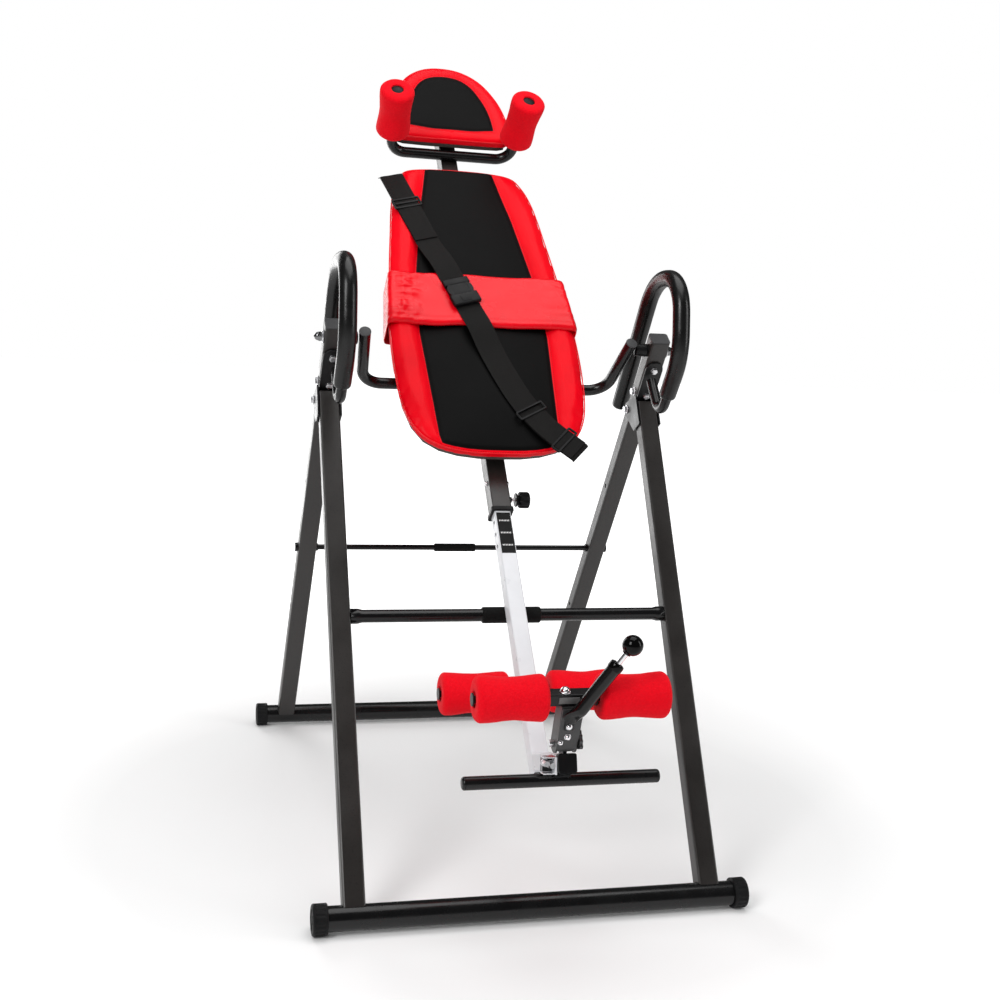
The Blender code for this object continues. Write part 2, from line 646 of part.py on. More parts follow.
def hinge_bracket(side_name, side, fold):
    """Channel welded to the top of the front leg; its two cheeks straddle the rear leg at the fold hinge."""
    hinge_y, hinge_z = FRONT_LEG_OFFSET, HINGE_ALONG_LEG
    eye_r = 0.014
    arc = [(hinge_y + eye_r * math.cos(a), hinge_z + eye_r * math.sin(a))
           for a in (math.radians(-50 + 20 * k) for k in range(8))]
    back = LEG_DEPTH / 2 + GAP + BRACKET_WALL
    front = -LEG_DEPTH / 2
    outline = [(front, hinge_z - 0.055), (back, hinge_z - 0.055)] + arc + [(front, hinge_z + 0.004)]
    inside = LEG_WIDTH / 2 + CHEEK_GAP
    place_at = Vector((side * HINGE_X, FRONT_BASE_Y, BASE_CAP_R)) - fold.location
    bm = prism(outline, inside, inside + BRACKET_WALL, Y_AXIS, Z_AXIS, X_AXIS)
    bracket = add(f"hinge_bracket_{side_name}", bm, BLACK_PAINT, fold, place_at, FRONT_LEAN)
    join(bracket, prism(outline, -inside - BRACKET_WALL, -inside, Y_AXIS, Z_AXIS, X_AXIS))
    web_half = inside + BRACKET_WALL / 2
    join(bracket, box((-web_half, LEG_DEPTH / 2 + GAP, hinge_z - 0.054),
                      (web_half, back - 0.0002, hinge_z - 0.024)))
    cut(bracket, rods([(0, hinge_y, hinge_z)], BOLT_R + GAP, -LEG_WIDTH, LEG_WIDTH))


# ---------------------------------------------------------------- bed
def square_tube(size, wall, radius=0.003):
    outer = rounded_rectangle(size, size, radius)
    inner = rounded_rectangle(size - 2 * wall, size - 2 * wall, radius - wall * 0.7)
    return outer, inner


def main_tube(bed):
    outer, inner = square_tube(MAIN_TUBE_SIZE, TUBE_WALL)
    bm = bar_along(Y_AXIS, outer, MAIN_TUBE_LOW, MAIN_TUBE_HIGH, inner)
    tube = add("main_tube", bm, BLACK_PAINT, bed, (0.0, 0.0, MAIN_TUBE_MIDDLE))
    cut(tube, rods([(0, SELECTOR_Y, 0)], PIN_R + 2 * GAP, 0.0, MAIN_TUBE_SIZE))


def tube_collar(bed):
    """Plastic guide in the main tube's lower end: a flange outside and a thin liner within."""
    flange = rounded_rectangle(MAIN_TUBE_SIZE + 0.005, MAIN_TUBE_SIZE + 0.005, 0.004)
    liner_size = MAIN_TUBE_SIZE - 2 * TUBE_WALL - 2 * GAP
    liner = rounded_rectangle(liner_size, liner_size, 0.0018)
    bore_size = BOOM_SIZE + 2 * GAP
    bore = rounded_rectangle(bore_size, bore_size, 0.0015)
    top = MAIN_TUBE_LOW - GAP
    stations = ((top - COLLAR_LENGTH, flange), (top, flange), (top, liner), (top + LINER_LENGTH, liner),
                (top + LINER_LENGTH, bore), (top - COLLAR_LENGTH, bore))
    rings = [place(ring, (0, y, 0), X_AXIS, Z_AXIS) for y, ring in stations]
    add("main_tube_collar", skin(rings, closed=True), BLACK_PLASTIC, bed, (0.0, 0.0, MAIN_TUBE_MIDDLE))


def cradle_tube(bed):
    """U-shaped tube that hangs the bed from its two pivots."""
    corners = [((-CRADLE_END_X, 0, CRADLE_END_Z), 0), ((-CRADLE_BEND_X, 0, CRADLE_Z), 0.040),
               ((CRADLE_BEND_X, 0, CRADLE_Z), 0.040), ((CRADLE_END_X, 0, CRADLE_END_Z), 0)]
    bm = bent_tube(rounded_path(corners), CRADLE_TUBE_R, Y_AXIS)
    add("cradle_tube", bm, BLACK_PAINT, bed)


def pivot_pin(side_name, side, bed):
    """Boss, axle, washer and domed nut in one: the bed turns on it in the rear leg's bush."""
    boss_start = CRADLE_END_X + CRADLE_TUBE_R + GAP
    boss_end = LEG_X - LEG_WIDTH / 2 - BUSH_FLANGE - 3 * GAP
    outer_face = LEG_X + LEG_WIDTH / 2 + GAP
    profile = ((boss_start, 0.012), (boss_end, 0.012), (boss_end, AXLE_R), (outer_face, AXLE_R),
               (outer_face, 0.0125), (outer_face + 0.002, 0.0125), (outer_face + 0.002, 0.0095),
               (outer_face + 0.010, 0.0095), (outer_face + 0.0145, 0.007), (outer_face + 0.017, 0.0035))
    bm = turned([(side * x, r) for x, r in profile], X_AXIS, 16)
    add(f"pivot_pin_{side_name}", bm, ZINC, bed)


def shrunk(outline, by):
    """Moves an outline in towards its middle, for a board that sits under its cushion."""
    xs = [x for x, _ in outline]
    ys = [y for _, y in outline]
    middle = (min(ys) + max(ys)) / 2
    scale_x = 1 - by / max(xs)
    scale_y = 1 - 2 * by / (max(ys) - min(ys))
    return [(x * scale_x, middle + (y - middle) * scale_y) for x, y in outline]


def padded_plate(prefix, half, spacers, bed):
    """Board with spacer blocks on the main tube, and its cushion."""
    outline = smooth_outline(mirrored(half))
    bm = prism(shrunk(outline, BOARD_INSET), BOARD_BACK, BOARD_FRONT)
    board = add(f"{prefix}_board", bm, PLYWOOD, bed)
    for low, high in spacers:
        join(board, box((-0.016, low, MAIN_TUBE_FRONT + GAP), (0.016, high, BOARD_BACK + 0.002)))
    add(f"{prefix}_cushion", prism(outline, CUSHION_BACK, CUSHION_FRONT), RED_VINYL, bed)


def lumbar_pad(bed):
    """Soft band right round the backrest."""
    def band(y, half, back, front, corner_r):
        ring = rounded_rectangle(2 * half, front - back, corner_r, steps=2)
        return [Vector((u, y, (front + back) / 2 + v)) for u, v in ring]

    inner = (BOARD_BACK - GAP, CUSHION_FRONT + GAP, 0.001)
    outer = (BOARD_BACK - PAD_BACK_THICK, CUSHION_FRONT + PAD_FRONT_THICK, 0.005)
    rings = [band(PAD_LOW, PAD_HALF_LOW + PAD_SIDE_THICK, *outer),
             band(PAD_HIGH, PAD_HALF_HIGH + PAD_SIDE_THICK, *outer),
             band(PAD_HIGH, PAD_HALF_HIGH, *inner), band(PAD_LOW, PAD_HALF_LOW, *inner)]
    add("lumbar_pad", skin(rings, closed=True), RED_VINYL, bed)


def smooth_line(points, steps=3):
    """Open curve through the points (Catmull-Rom)."""
    points = [Vector(p) for p in points]
    padded = [2 * points[0] - points[1]] + points + [2 * points[-1] - points[-2]]
    out = [curve_point(padded[i:i + 4], k / steps) for i in range(len(points) - 1) for k in range(steps)]
    return out + [points[-1]]


def strap_height(y):
    """Back face of the strap: it lies over the cushion and climbs over the lumbar pad."""
    ramp = 0.030
    over_low = min(max((y - PAD_LOW + 2 * ramp) / ramp, 0), 1)
    over_high = min(max((PAD_HIGH + 2 * ramp - y) / ramp, 0), 1)
    return CUSHION_FRONT + 0.001 + over_low * over_high * PAD_FRONT_THICK


def safety_strap(bed):
    rings = []
    line = smooth_line(STRAP_LINE)
    for i, centre in enumerate(line):
        ahead = line[min(i + 1, len(line) - 1)] - line[max(i - 1, 0)]
        side = Vector((ahead.y, -ahead.x)).normalized() * STRAP_WIDTH / 2
        low = strap_height(centre.y)
        corners = ((-1, 0), (1, 0), (1, STRAP_THICK), (-1, STRAP_THICK))
        rings.append([Vector((centre.x + s * side.x, centre.y + s * side.y, low + z)) for s, z in corners])
    add("safety_strap", skin(rings), WEBBING, bed)


def head_bar(bed):
    """Bar under the headrest; its arms stand out of the bed and carry the foam grips."""
    tip = HEAD_BAR_HALF + 0.008
    z = MAIN_TUBE_FRONT + HEAD_BAR_R + GAP
    corners = [((-tip, 0, HEAD_ROLLER_HIGH - 0.012), 0), ((-HEAD_BAR_HALF, 0, z), 0.030),
               ((HEAD_BAR_HALF, 0, z), 0.030), ((tip, 0, HEAD_ROLLER_HIGH - 0.012), 0)]
    bm = bent_tube(rounded_path(corners), HEAD_BAR_R, Y_AXIS)
    add("head_bar", bm, BLACK_PAINT, bed, (0.0, HEAD_BAR_Y, 0.0))


def roller_profile(start, end, bore):
    """Foam roller: full at the ends, a little narrower in the middle, with a bore."""
    length = end - start
    outer = [(0.0, 0.80), (0.05, 0.96), (0.12, 1.0), (0.5, ROLLER_WAIST_R / ROLLER_R), (0.88, 1.0),
             (0.95, 0.96), (1.0, 0.80)]
    profile = [(start + length * share, ROLLER_R * r) for share, r in outer]
    return profile + [(end, bore), (start, bore)]


def head_rollers(bed):
    for side_name, side in SIDES:
        slope = 0.008 / (HEAD_ROLLER_HIGH - 0.012 - CRADLE_Z)
        axis = Vector((side * slope, 0.0, 1.0)).normalized()
        foot = Vector((side * HEAD_BAR_HALF, HEAD_BAR_Y, MAIN_TUBE_FRONT + HEAD_BAR_R + GAP))
        start = HEAD_ROLLER_LOW - foot.z
        end = HEAD_ROLLER_HIGH - foot.z
        bm = skin([place(circle(r, 16), axis * along, Y_AXIS, Y_AXIS.cross(axis))
                   for along, r in roller_profile(start, end, HEAD_BAR_R + GAP)], closed=True)
        add(f"head_roller_{side_name}", bm, RED_FOAM, bed, foot)


def selector_housing(bed):
    """Threaded boss on the right side of the main tube that guides the selector pin."""
    start = MAIN_TUBE_SIZE / 2 + GAP
    bore = PIN_R + GAP
    profile = ((start, 0.0075), (start + 0.002, 0.0075), (start + 0.002, 0.0055), (start + 0.006, 0.0055),
               (start + 0.006, bore), (start, bore))
    add("selector_housing", turned(profile, X_AXIS, 16, closed=True), ZINC, bed,
        (0.0, SELECTOR_Y, MAIN_TUBE_MIDDLE))


def selector_knob(slide):
    """Fluted knob on its pin; at rest the tip is just clear of the boom."""
    tip = BOOM_SIZE / 2 + 0.0012
    knob_start = MAIN_TUBE_SIZE / 2 + 0.0130
    knob_end = knob_start + 0.026
    profile = ((tip, PIN_R), (knob_start, PIN_R), (knob_start, 0.0130), (knob_start + 0.002, KNOB_R),
               (knob_end - 0.002, KNOB_R), (knob_end, 0.0130))
    knob = add("selector_knob", turned(profile, X_AXIS, 16), BLACK_PLASTIC, slide)
    flutes = 8
    radius = KNOB_R + 0.0012
    places = [(0, radius * math.cos(a), radius * math.sin(a))
              for a in (2 * math.pi * (k + 0.5) / flutes for k in range(flutes))]
    cut(knob, rods(places, 0.0028, knob_start - 0.002, knob_end + 0.002, steps=8))


# ---------------------------------------------------------------- boom and foot rest
def boom(slide):
    outer, inner = square_tube(BOOM_SIZE, TUBE_WALL)
    bm = bar_along(Y_AXIS, outer, BOOM_LOW, BOOM_HIGH, inner)
    piece = add("boom", bm, WHITE_PAINT, slide, (0.0, 0.0, MAIN_TUBE_MIDDLE))
    holes = [(0, SELECTOR_Y + i * HOLE_PITCH, 0) for i in range(-HOLES_BELOW, HOLES_ABOVE + 1)]
    cut(piece, rods(holes, 0.004, -BOOM_SIZE, BOOM_SIZE))
    cut(piece, rods([(0, REAR_ROLLER_Y, 0)], SHAFT_R + GAP, -BOOM_SIZE, BOOM_SIZE))


def rear_ankle_shaft(slide):
    """Rod through the boom with a collar inside each roller and a retaining disc outside."""
    profile = [(REAR_ROLLER_OUTER + 0.0035, 0.010), (REAR_ROLLER_OUTER + 0.001, 0.010),
               (REAR_ROLLER_OUTER + 0.001, SHAFT_R), (REAR_ROLLER_INNER - 0.001, SHAFT_R),
               (REAR_ROLLER_INNER - 0.001, 0.010), (BOOM_SIZE / 2 + 2 * GAP, 0.010),
               (BOOM_SIZE / 2 + 2 * GAP, SHAFT_R)]
    whole = profile + [(-x, r) for x, r in reversed(profile)]
    add("rear_ankle_shaft", turned(whole, X_AXIS, 16), BLACK_PAINT, slide,
        (0.0, REAR_ROLLER_Y, MAIN_TUBE_MIDDLE))


def ankle_roller(name, side, inner_x, outer_x, centre, parent, shaft_r):
    profile = roller_profile(inner_x, outer_x, shaft_r + GAP)
    bm = turned([(side * x, r) for x, r in profile], X_AXIS, 16, closed=True)
    axle = pivot_empty(name + "_axle", centre, parent)
    add(name, bm, RED_FOAM, axle)


def foot_post(slide):
    """Square tube that stands forward of the boom's foot and carries the foot bar and ankle arm."""
    outer, inner = square_tube(POST_SIZE, TUBE_WALL)

    def ring(outline, along, on_boom):
        """A ring square to the post, or one slid along it to lie flat on the boom's front face."""
        points = place(outline, POST_DIRECTION * along, X_AXIS, POST_ACROSS)
        if on_boom:
            return [p - POST_DIRECTION * (p.z - GAP) / POST_DIRECTION.z for p in points]
        return points

    rings = [ring(outer, 0, True), ring(outer, POST_LENGTH, False),
             ring(inner, POST_LENGTH, False), ring(inner, 0, True)]
    add("foot_post", skin(rings, closed=True), WHITE_PAINT, slide, POST_START)


def foot_post_cap(slide):
    """Black block on the post's front end."""
    cover = rounded_rectangle(POST_SIZE + 0.001, POST_SIZE + 0.001, 0.003)
    plug_size = POST_SIZE - 2 * TUBE_WALL - 2 * GAP
    plug = rounded_rectangle(plug_size, plug_size, 0.0015)
    stations = ((POST_LENGTH - 0.010, plug), (POST_LENGTH + GAP, plug), (POST_LENGTH + GAP, cover),
                (POST_LENGTH + 0.012, cover))
    rings = [place(ring, POST_DIRECTION * along, X_AXIS, POST_ACROSS) for along, ring in stations]
    add("foot_post_cap", skin(rings), BLACK_PLASTIC, slide, POST_START)


def foot_bar(slide):
    """Round bar to stand on, welded under the post."""
    centre = (POST_START + POST_DIRECTION * (POST_LENGTH - FOOT_BAR_BACK)
              - POST_ACROSS * (POST_SIZE / 2 + FOOT_BAR_R + GAP))
    half = FOOT_BAR_HALF
    profile = [(half + 0.004, 0.005), (half + 0.002, 0.009), (half, FOOT_BAR_R)]
    whole = profile + [(-x, r) for x, r in reversed(profile)]
    add("foot_bar", turned(whole, X_AXIS, 16), BLACK_PAINT, slide, centre)


def ratchet_plate(slide):
    """Plate standing on the post with the arm's pin, and a toothed sector on the pin's right end."""
    base_height = (ARM_PIVOT - POST_START).dot(POST_ACROSS) - POST_SIZE / 2 - GAP
    round_top = [(STAND_R * math.cos(a), STAND_R * math.sin(a))
                 for a in (math.radians(180 * k / 10) for k in range(11))]
    stand = round_top + [(-STAND_FOOT_BACK, -base_height), (STAND_FOOT_AHEAD, -base_height)]
    bm = prism(stand, -STAND_HALF, STAND_HALF, POST_DIRECTION, POST_ACROSS, X_AXIS)
    plate = add("ratchet_plate", bm, GREY_STEEL, slide, ARM_PIVOT)
    pin_end = ARM_PLATE_INNER + ARM_PLATE_THICK + GAP
    head = pin_end + RATCHET_THICK + 0.002
    profile = [(head, 0.0055), (pin_end, 0.0055), (pin_end, BOLT_R)]
    join(plate, turned(profile + [(-x, r) for x, r in reversed(profile)], X_AXIS, 12))
    teeth = []
    for k in range(2 * TOOTH_COUNT + 1):
        angle = math.radians(-25 + 230 * k / (2 * TOOTH_COUNT))
        radius = RATCHET_R + (TOOTH if k % 2 else 0.0)
        teeth.append((radius * math.cos(angle), radius * math.sin(angle)))
    low = pin_end + 0.0004
    join(plate, prism(teeth, low, low + RATCHET_THICK, POST_DIRECTION, POST_ACROSS, X_AXIS))


# ---------------------------------------------------------------- ankle clamp
def arm_plate_outline():
    """Side view of an arm plate, as (across, along) from the arm's pivot: round eye, broad head."""
    eye = [(ARM_EYE_R * math.cos(a), ARM_EYE_R * math.sin(a))
           for a in (math.radians(180 + 180 * k / 8) for k in range(9))]
    head = ARM_LENGTH - ARM_BAR_HALF - GAP
    return eye + [(0.016, head - 0.030), (0.014, head), (-0.012, head)]


def ankle_arm(hinge):
    """Two side plates, a front plate that carries the lever, and a web under the front roller bar."""
    outline = arm_plate_outline()
    outer = ARM_PLATE_INNER + ARM_PLATE_THICK
    bm = prism(outline, ARM_PLATE_INNER, outer, ARM_ACROSS, ARM_DIRECTION, X_AXIS)
    arm = add("ankle_arm", bm, GREY_STEEL, hinge)
    join(arm, prism(outline, -outer, -ARM_PLATE_INNER, ARM_ACROSS, ARM_DIRECTION, X_AXIS))
    head = ARM_LENGTH - ARM_BAR_HALF - GAP
    web = [(-0.0118, head - ARM_WEB_THICK), (0.0138, head - ARM_WEB_THICK), (0.0138, head - 0.0002),
           (-0.0118, head - 0.0002)]
    middle = (ARM_PLATE_INNER + outer) / 2
    join(arm, prism(web, -middle, middle, ARM_ACROSS, ARM_DIRECTION, X_AXIS))
    round_middle = ARM_FRONT_LOW + ARM_FRONT_HALF
    foot = [(ARM_FRONT_HALF * math.cos(a), round_middle + ARM_FRONT_HALF * math.sin(a))
            for a in (math.radians(180 + 180 * k / 10) for k in range(11))]
    front = foot + [(ARM_FRONT_HALF, head - 0.001), (-ARM_FRONT_HALF, head - 0.001)]
    join(arm, prism(front, -outer, -ARM_PLATE_INNER, X_AXIS, ARM_DIRECTION, ARM_ACROSS))
    cut(arm, rods([(0, 0, 0)], BOLT_R + GAP, -2 * outer, 2 * outer))


def front_ankle_bar(hinge):
    """Square bar on the arm's head, turned down to round shafts for the rollers."""
    square = rounded_rectangle(2 * ARM_BAR_HALF, 2 * ARM_BAR_HALF, 0.002, steps=3)
    round_ring = rotated_to_match(circle(SHAFT_R, len(square)))
    disc = rotated_to_match(circle(0.010, len(square)))
    square = rotated_to_match(square)
    shoulder = FRONT_ROLLER_INNER - 0.001
    stop = FRONT_ROLLER_OUTER + 0.001
    half = [(shoulder, square), (shoulder, round_ring), (stop, round_ring), (stop, disc), (stop + 0.0025, disc)]
    stations = [(-x, ring) for x, ring in reversed(half)] + half
    rings = [place(ring, (x, 0, 0), ARM_ACROSS, ARM_DIRECTION) for x, ring in stations]
    add("front_ankle_bar", skin(rings), BLACK_PAINT, hinge, FRONT_ROLLER_AXIS - ARM_PIVOT)


def lever_base():
    """Middle of the lever's lower end, in front of the arm's front plate."""
    stand_off = ARM_PLATE_INNER + ARM_PLATE_THICK + LEVER_STAND_OFF + LEVER_R
    return ARM_DIRECTION * LEVER_ALONG_ARM - ARM_ACROSS * stand_off + X_AXIS * LEVER_X


def along_lever(profile, steps=16, closed=False):
    axis = LEVER_DIRECTION.normalized()
    side = axis.cross(X_AXIS).normalized()
    return skin([place(circle(r, steps), axis * along, side, axis.cross(side)) for along, r in profile], closed)


def ankle_lever(hinge):
    """Tube that the user pulls; its bore takes the release rod."""
    bore = PULL_ROD_R + GAP
    profile = ((0.0, LEVER_R), (LEVER_LENGTH - 0.008, LEVER_R), (LEVER_LENGTH - 0.008, LEVER_R + 0.001),
               (LEVER_LENGTH, LEVER_R + 0.0005), (LEVER_LENGTH, bore), (0.012, bore))
    add("ankle_lever", along_lever(profile), GREY_STEEL, hinge, lever_base())


def release_rod(slide):
    """Rod in the lever with the ball knob that the user pulls to free the ratchet."""
    ball_centre = LEVER_LENGTH + BALL_CLEARANCE + BALL_R * 0.9
    profile = [(0.014, PULL_ROD_R), (ball_centre - BALL_R * 0.93, PULL_ROD_R)]
    for k in range(10):
        angle = math.radians(-62 + 142 * k / 9)
        profile.append((ball_centre + BALL_R * math.sin(angle), BALL_R * math.cos(angle)))
    add("release_rod", along_lever(profile), GLOSS_PLASTIC, slide)


# ---------------------------------------------------------------- the whole table
def build_stand():
    base_tube("rear_base_tube", REAR_BASE_WIDTH, REAR_BASE)
    rear_rod()
    sleeve("rear_rod_sleeve", ROD_R, ROD_SLEEVE_R, ROD_SLEEVE_LENGTH, rod_centre())
    for side_name, side in SIDES:
        base_cap(f"rear_base_cap_{side_name}", side, REAR_BASE_WIDTH, REAR_BASE)
        rear_leg(side_name, side)
        rear_leg_cap(side_name, side)
        pivot_bush(side_name, side)
        stand_bolts(side_name, side)
        handle(side_name, side)
        handle_plate(side_name, side)


def build_front_frame():
    fold = pivot_empty("front_fold_axis", FOLD_HINGE)
    base_tube("front_base_tube", FRONT_BASE_WIDTH, FRONT_BASE - FOLD_HINGE, fold)
    crossbar(fold)
    sleeve("crossbar_sleeve", CROSSBAR_R, CROSSBAR_SLEEVE_R, CROSSBAR_SLEEVE_LENGTH,
           crossbar_centre() - FOLD_HINGE, fold)
    for side_name, side in SIDES:
        base_cap(f"front_base_cap_{side_name}", side, FRONT_BASE_WIDTH, FRONT_BASE - FOLD_HINGE, fold)
        front_leg(side_name, side, fold)
        hinge_bracket(side_name, side, fold)


def build_bed():
    """The bed's own frame: X across, Y towards the head along the main tube, Z out of the padded side."""
    bed = pivot_empty("bed_pivot_axis", PIVOT, None, math.pi / 2 - RECLINE)
    main_tube(bed)
    tube_collar(bed)
    cradle_tube(bed)
    padded_plate("backrest", BACKREST_HALF, ((-0.160, -0.100), (0.300, 0.360)), bed)
    padded_plate("headrest", HEADREST_HALF, ((0.680, 0.780),), bed)
    lumbar_pad(bed)
    safety_strap(bed)
    head_bar(bed)
    head_rollers(bed)
    selector_housing(bed)
    for side_name, side in SIDES:
        pivot_pin(side_name, side, bed)
    selector_knob(pivot_empty("selector_slide", (0.0, SELECTOR_Y, MAIN_TUBE_MIDDLE), bed))
    return bed


def build_boom(bed):
    slide = pivot_empty("boom_slide", (0.0, 0.0, 0.0), bed)
    boom(slide)
    rear_ankle_shaft(slide)
    foot_post(slide)
    foot_post_cap(slide)
    foot_bar(slide)
    ratchet_plate(slide)
    hinge = pivot_empty("ankle_arm_axis", ARM_PIVOT, slide)
    ankle_arm(hinge)
    front_ankle_bar(hinge)
    ankle_lever(hinge)
    release_rod(pivot_empty("release_slide", lever_base(), hinge))
    for side_name, side in SIDES:
        ankle_roller(f"rear_ankle_roller_{side_name}", side, REAR_ROLLER_INNER, REAR_ROLLER_OUTER,
                     (0.0, REAR_ROLLER_Y, MAIN_TUBE_MIDDLE), slide, SHAFT_R)
        ankle_roller(f"front_ankle_roller_{side_name}", side, FRONT_ROLLER_INNER, FRONT_ROLLER_OUTER,
                     FRONT_ROLLER_AXIS - ARM_PIVOT, hinge, SHAFT_R)


def centre_on_floor():
    """Slides the whole table along Y until the origin is under the middle of its overall box."""
    bpy.context.view_layer.update()
    pieces = [piece for piece in bpy.context.scene.objects if piece.type == "MESH"]
    reach = [(piece.matrix_world @ vert.co).y for piece in pieces for vert in piece.data.vertices]
    shift = (min(reach) + max(reach)) / 2
    for piece in bpy.context.scene.objects:
        if piece.parent is None:
            piece.location.y -= shift
    print(f"slid by {shift:.6f} m along Y")


clear_scene()
build_stand()
build_front_frame()
build_boom(build_bed())
centre_on_floor()
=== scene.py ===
"""Looks of the inversion table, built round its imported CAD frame. Metres, +Z up."""

import json
import math

import bmesh
import bpy
import numpy as np
from mathutils import Matrix, Vector, noise


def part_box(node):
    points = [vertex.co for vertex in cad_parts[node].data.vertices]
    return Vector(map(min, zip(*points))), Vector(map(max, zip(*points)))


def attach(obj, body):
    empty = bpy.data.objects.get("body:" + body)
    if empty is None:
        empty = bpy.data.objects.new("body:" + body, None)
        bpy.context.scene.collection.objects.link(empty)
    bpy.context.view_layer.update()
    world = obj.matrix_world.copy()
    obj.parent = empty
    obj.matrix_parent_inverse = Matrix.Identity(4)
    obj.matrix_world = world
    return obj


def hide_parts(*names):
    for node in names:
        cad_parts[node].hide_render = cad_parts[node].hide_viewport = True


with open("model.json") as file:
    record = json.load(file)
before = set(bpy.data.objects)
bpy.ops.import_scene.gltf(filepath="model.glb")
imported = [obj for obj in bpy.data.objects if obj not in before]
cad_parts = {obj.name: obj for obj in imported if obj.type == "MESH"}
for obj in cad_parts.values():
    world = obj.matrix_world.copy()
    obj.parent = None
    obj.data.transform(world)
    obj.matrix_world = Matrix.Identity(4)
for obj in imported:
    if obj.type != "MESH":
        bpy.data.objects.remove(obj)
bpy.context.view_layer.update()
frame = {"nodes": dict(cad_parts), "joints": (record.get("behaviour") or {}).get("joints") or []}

# ---------------------------------------------------------------- places, all from the frame
RIGHT = Vector((1.0, 0.0, 0.0))
BACK = Vector((0.0, 1.0, 0.0))
UP = Vector((0.0, 0.0, 1.0))
WORLD = Matrix.Identity(4)
SIDES = (("left", -1), ("right", 1))


def joint(name):
    return next(j for j in frame["joints"] if j["name"] == name)


def axes(origin, x_axis, z_axis):
    """Matrix with the given Z axis, and X as near the given one as it can be."""
    z_axis = z_axis.normalized()
    x_axis = (x_axis - z_axis * x_axis.dot(z_axis)).normalized()
    turn = Matrix((x_axis, z_axis.cross(x_axis), z_axis)).transposed().to_4x4()
    return Matrix.Translation(origin) @ turn


def points(node, place=WORLD):
    into = place.inverted()
    return [into @ v.co for v in frame["nodes"][node].data.vertices]


def box_of(found):
    low = Vector([min(p[i] for p in found) for i in range(3)])
    high = Vector([max(p[i] for p in found) for i in range(3)])
    return low, high


def local_box(node, place):
    return box_of(points(node, place))


def centre(node):
    low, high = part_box(node)
    return (low + high) / 2


def round_bar(node):
    """Left end, length and radius of a round node that lies along X."""
    low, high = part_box(node)
    start = Vector((low.x, (low.y + high.y) / 2, (low.z + high.z) / 2))
    return start, high.x - low.x, (high.z - low.z) / 2


def end_centre(node, direction, depth=0.0008):
    """Middle of a node's furthest face in a direction."""
    found = points(node)
    far = max(p.dot(direction) for p in found)
    low, high = box_of([p for p in found if p.dot(direction) > far - depth])
    return (low + high) / 2


PIVOT = Vector(joint("inversion")["pos_m"])
TO_HEAD = -Vector(joint("boom_slide")["axis"]).normalized()
OUT_OF_BED = RIGHT.cross(TO_HEAD)
BED = axes(PIVOT, RIGHT, OUT_OF_BED)
ARM_PIVOT = Vector(joint("ankle_clamp")["pos_m"])
FRONT_AXLE = Vector(joint("front_roller_turn_left")["pos_m"])
REAR_AXLE = Vector(joint("rear_roller_turn_left")["pos_m"])
ARM = axes(ARM_PIVOT, RIGHT, FRONT_AXLE - ARM_PIVOT)
LEVER_AXIS = Vector(joint("release_pull")["axis"]).normalized()
FOLD_HINGE = Vector(joint("front_fold")["pos_m"])
POST_BACK = (end_centre("foot_post", BACK, 0.004) - end_centre("foot_post_cap", -BACK, 0.003)).normalized()


def leg_place(kind, side_name):
    """Frame of a leg: origin at its floor tube, Z up the leg, -Y out of its front face."""
    node = f"{kind}_leg_{side_name}"
    floor_tube = centre(f"{kind}_base_tube")
    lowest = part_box(node)[0].z
    low, high = box_of([p for p in points(node) if p.z < lowest + 0.04])
    foot = Vector(((low.x + high.x) / 2, floor_tube.y, floor_tube.z))
    rough = (Vector((foot.x, PIVOT.y, PIVOT.z)) if kind == "rear" else FOLD_HINGE + RIGHT * foot.x) - foot
    top = end_centre(node, rough.normalized())
    return axes(foot, RIGHT, top - foot), (top - foot).length


# ---------------------------------------------------------------- finishes
def finish(name, colour, roughness, metallic=0.0, coat=0.0, sheen=0.0, specular=0.5):
    made = bpy.data.materials.new(name)
    made.use_nodes = True
    shader = made.node_tree.nodes["Principled BSDF"]
    shader.inputs["Base Color"].default_value = (*colour, 1.0)
    shader.inputs["Roughness"].default_value = roughness
    shader.inputs["Metallic"].default_value = metallic
    shader.inputs["Coat Weight"].default_value = coat
    shader.inputs["Coat Roughness"].default_value = 0.15
    shader.inputs["Sheen Weight"].default_value = sheen
    shader.inputs["Specular IOR Level"].default_value = specular
    return made


def node(material, kind, **inputs):
    """Adds a shader node; inputs are values or sockets, with _ for a space in their names."""
    tree = material.node_tree
    made = tree.nodes.new("ShaderNode" + kind)
    for key, value in inputs.items():
        socket = made.inputs[int(key[1:])] if key[0] == "i" and key[1:].isdigit() else \
            made.inputs[key.replace("_", " ")]
        if isinstance(value, bpy.types.NodeSocket):
            tree.links.new(value, socket)
        else:
            socket.default_value = value
    return made


def math_node(material, operation, first, second=0.0):
    made = node(material, "Math", i0=first, i1=second)
    made.operation = operation
    return made.outputs[0]


def object_coords(material, stretch=None):
    coords = node(material, "TexCoord").outputs["Object"]
    if stretch is None:
        return coords
    return node(material, "Mapping", Vector=coords, Scale=stretch).outputs[0]


def noise_of(material, scale, detail=2.0, stretch=None):
    return node(material, "TexNoise", Vector=object_coords(material, stretch), Scale=scale,
                Detail=detail).outputs["Fac"]


def cells_of(material, scale, feature="F1"):
    made = node(material, "TexVoronoi", Vector=object_coords(material), Scale=scale)
    made.feature = feature
    return made.outputs["Distance"]


def ramp(material, value, low, high, to_low=0.0, to_high=1.0):
    return node(material, "MapRange", Value=value, From_Min=low, From_Max=high, To_Min=to_low,
                To_Max=to_high).outputs[0]


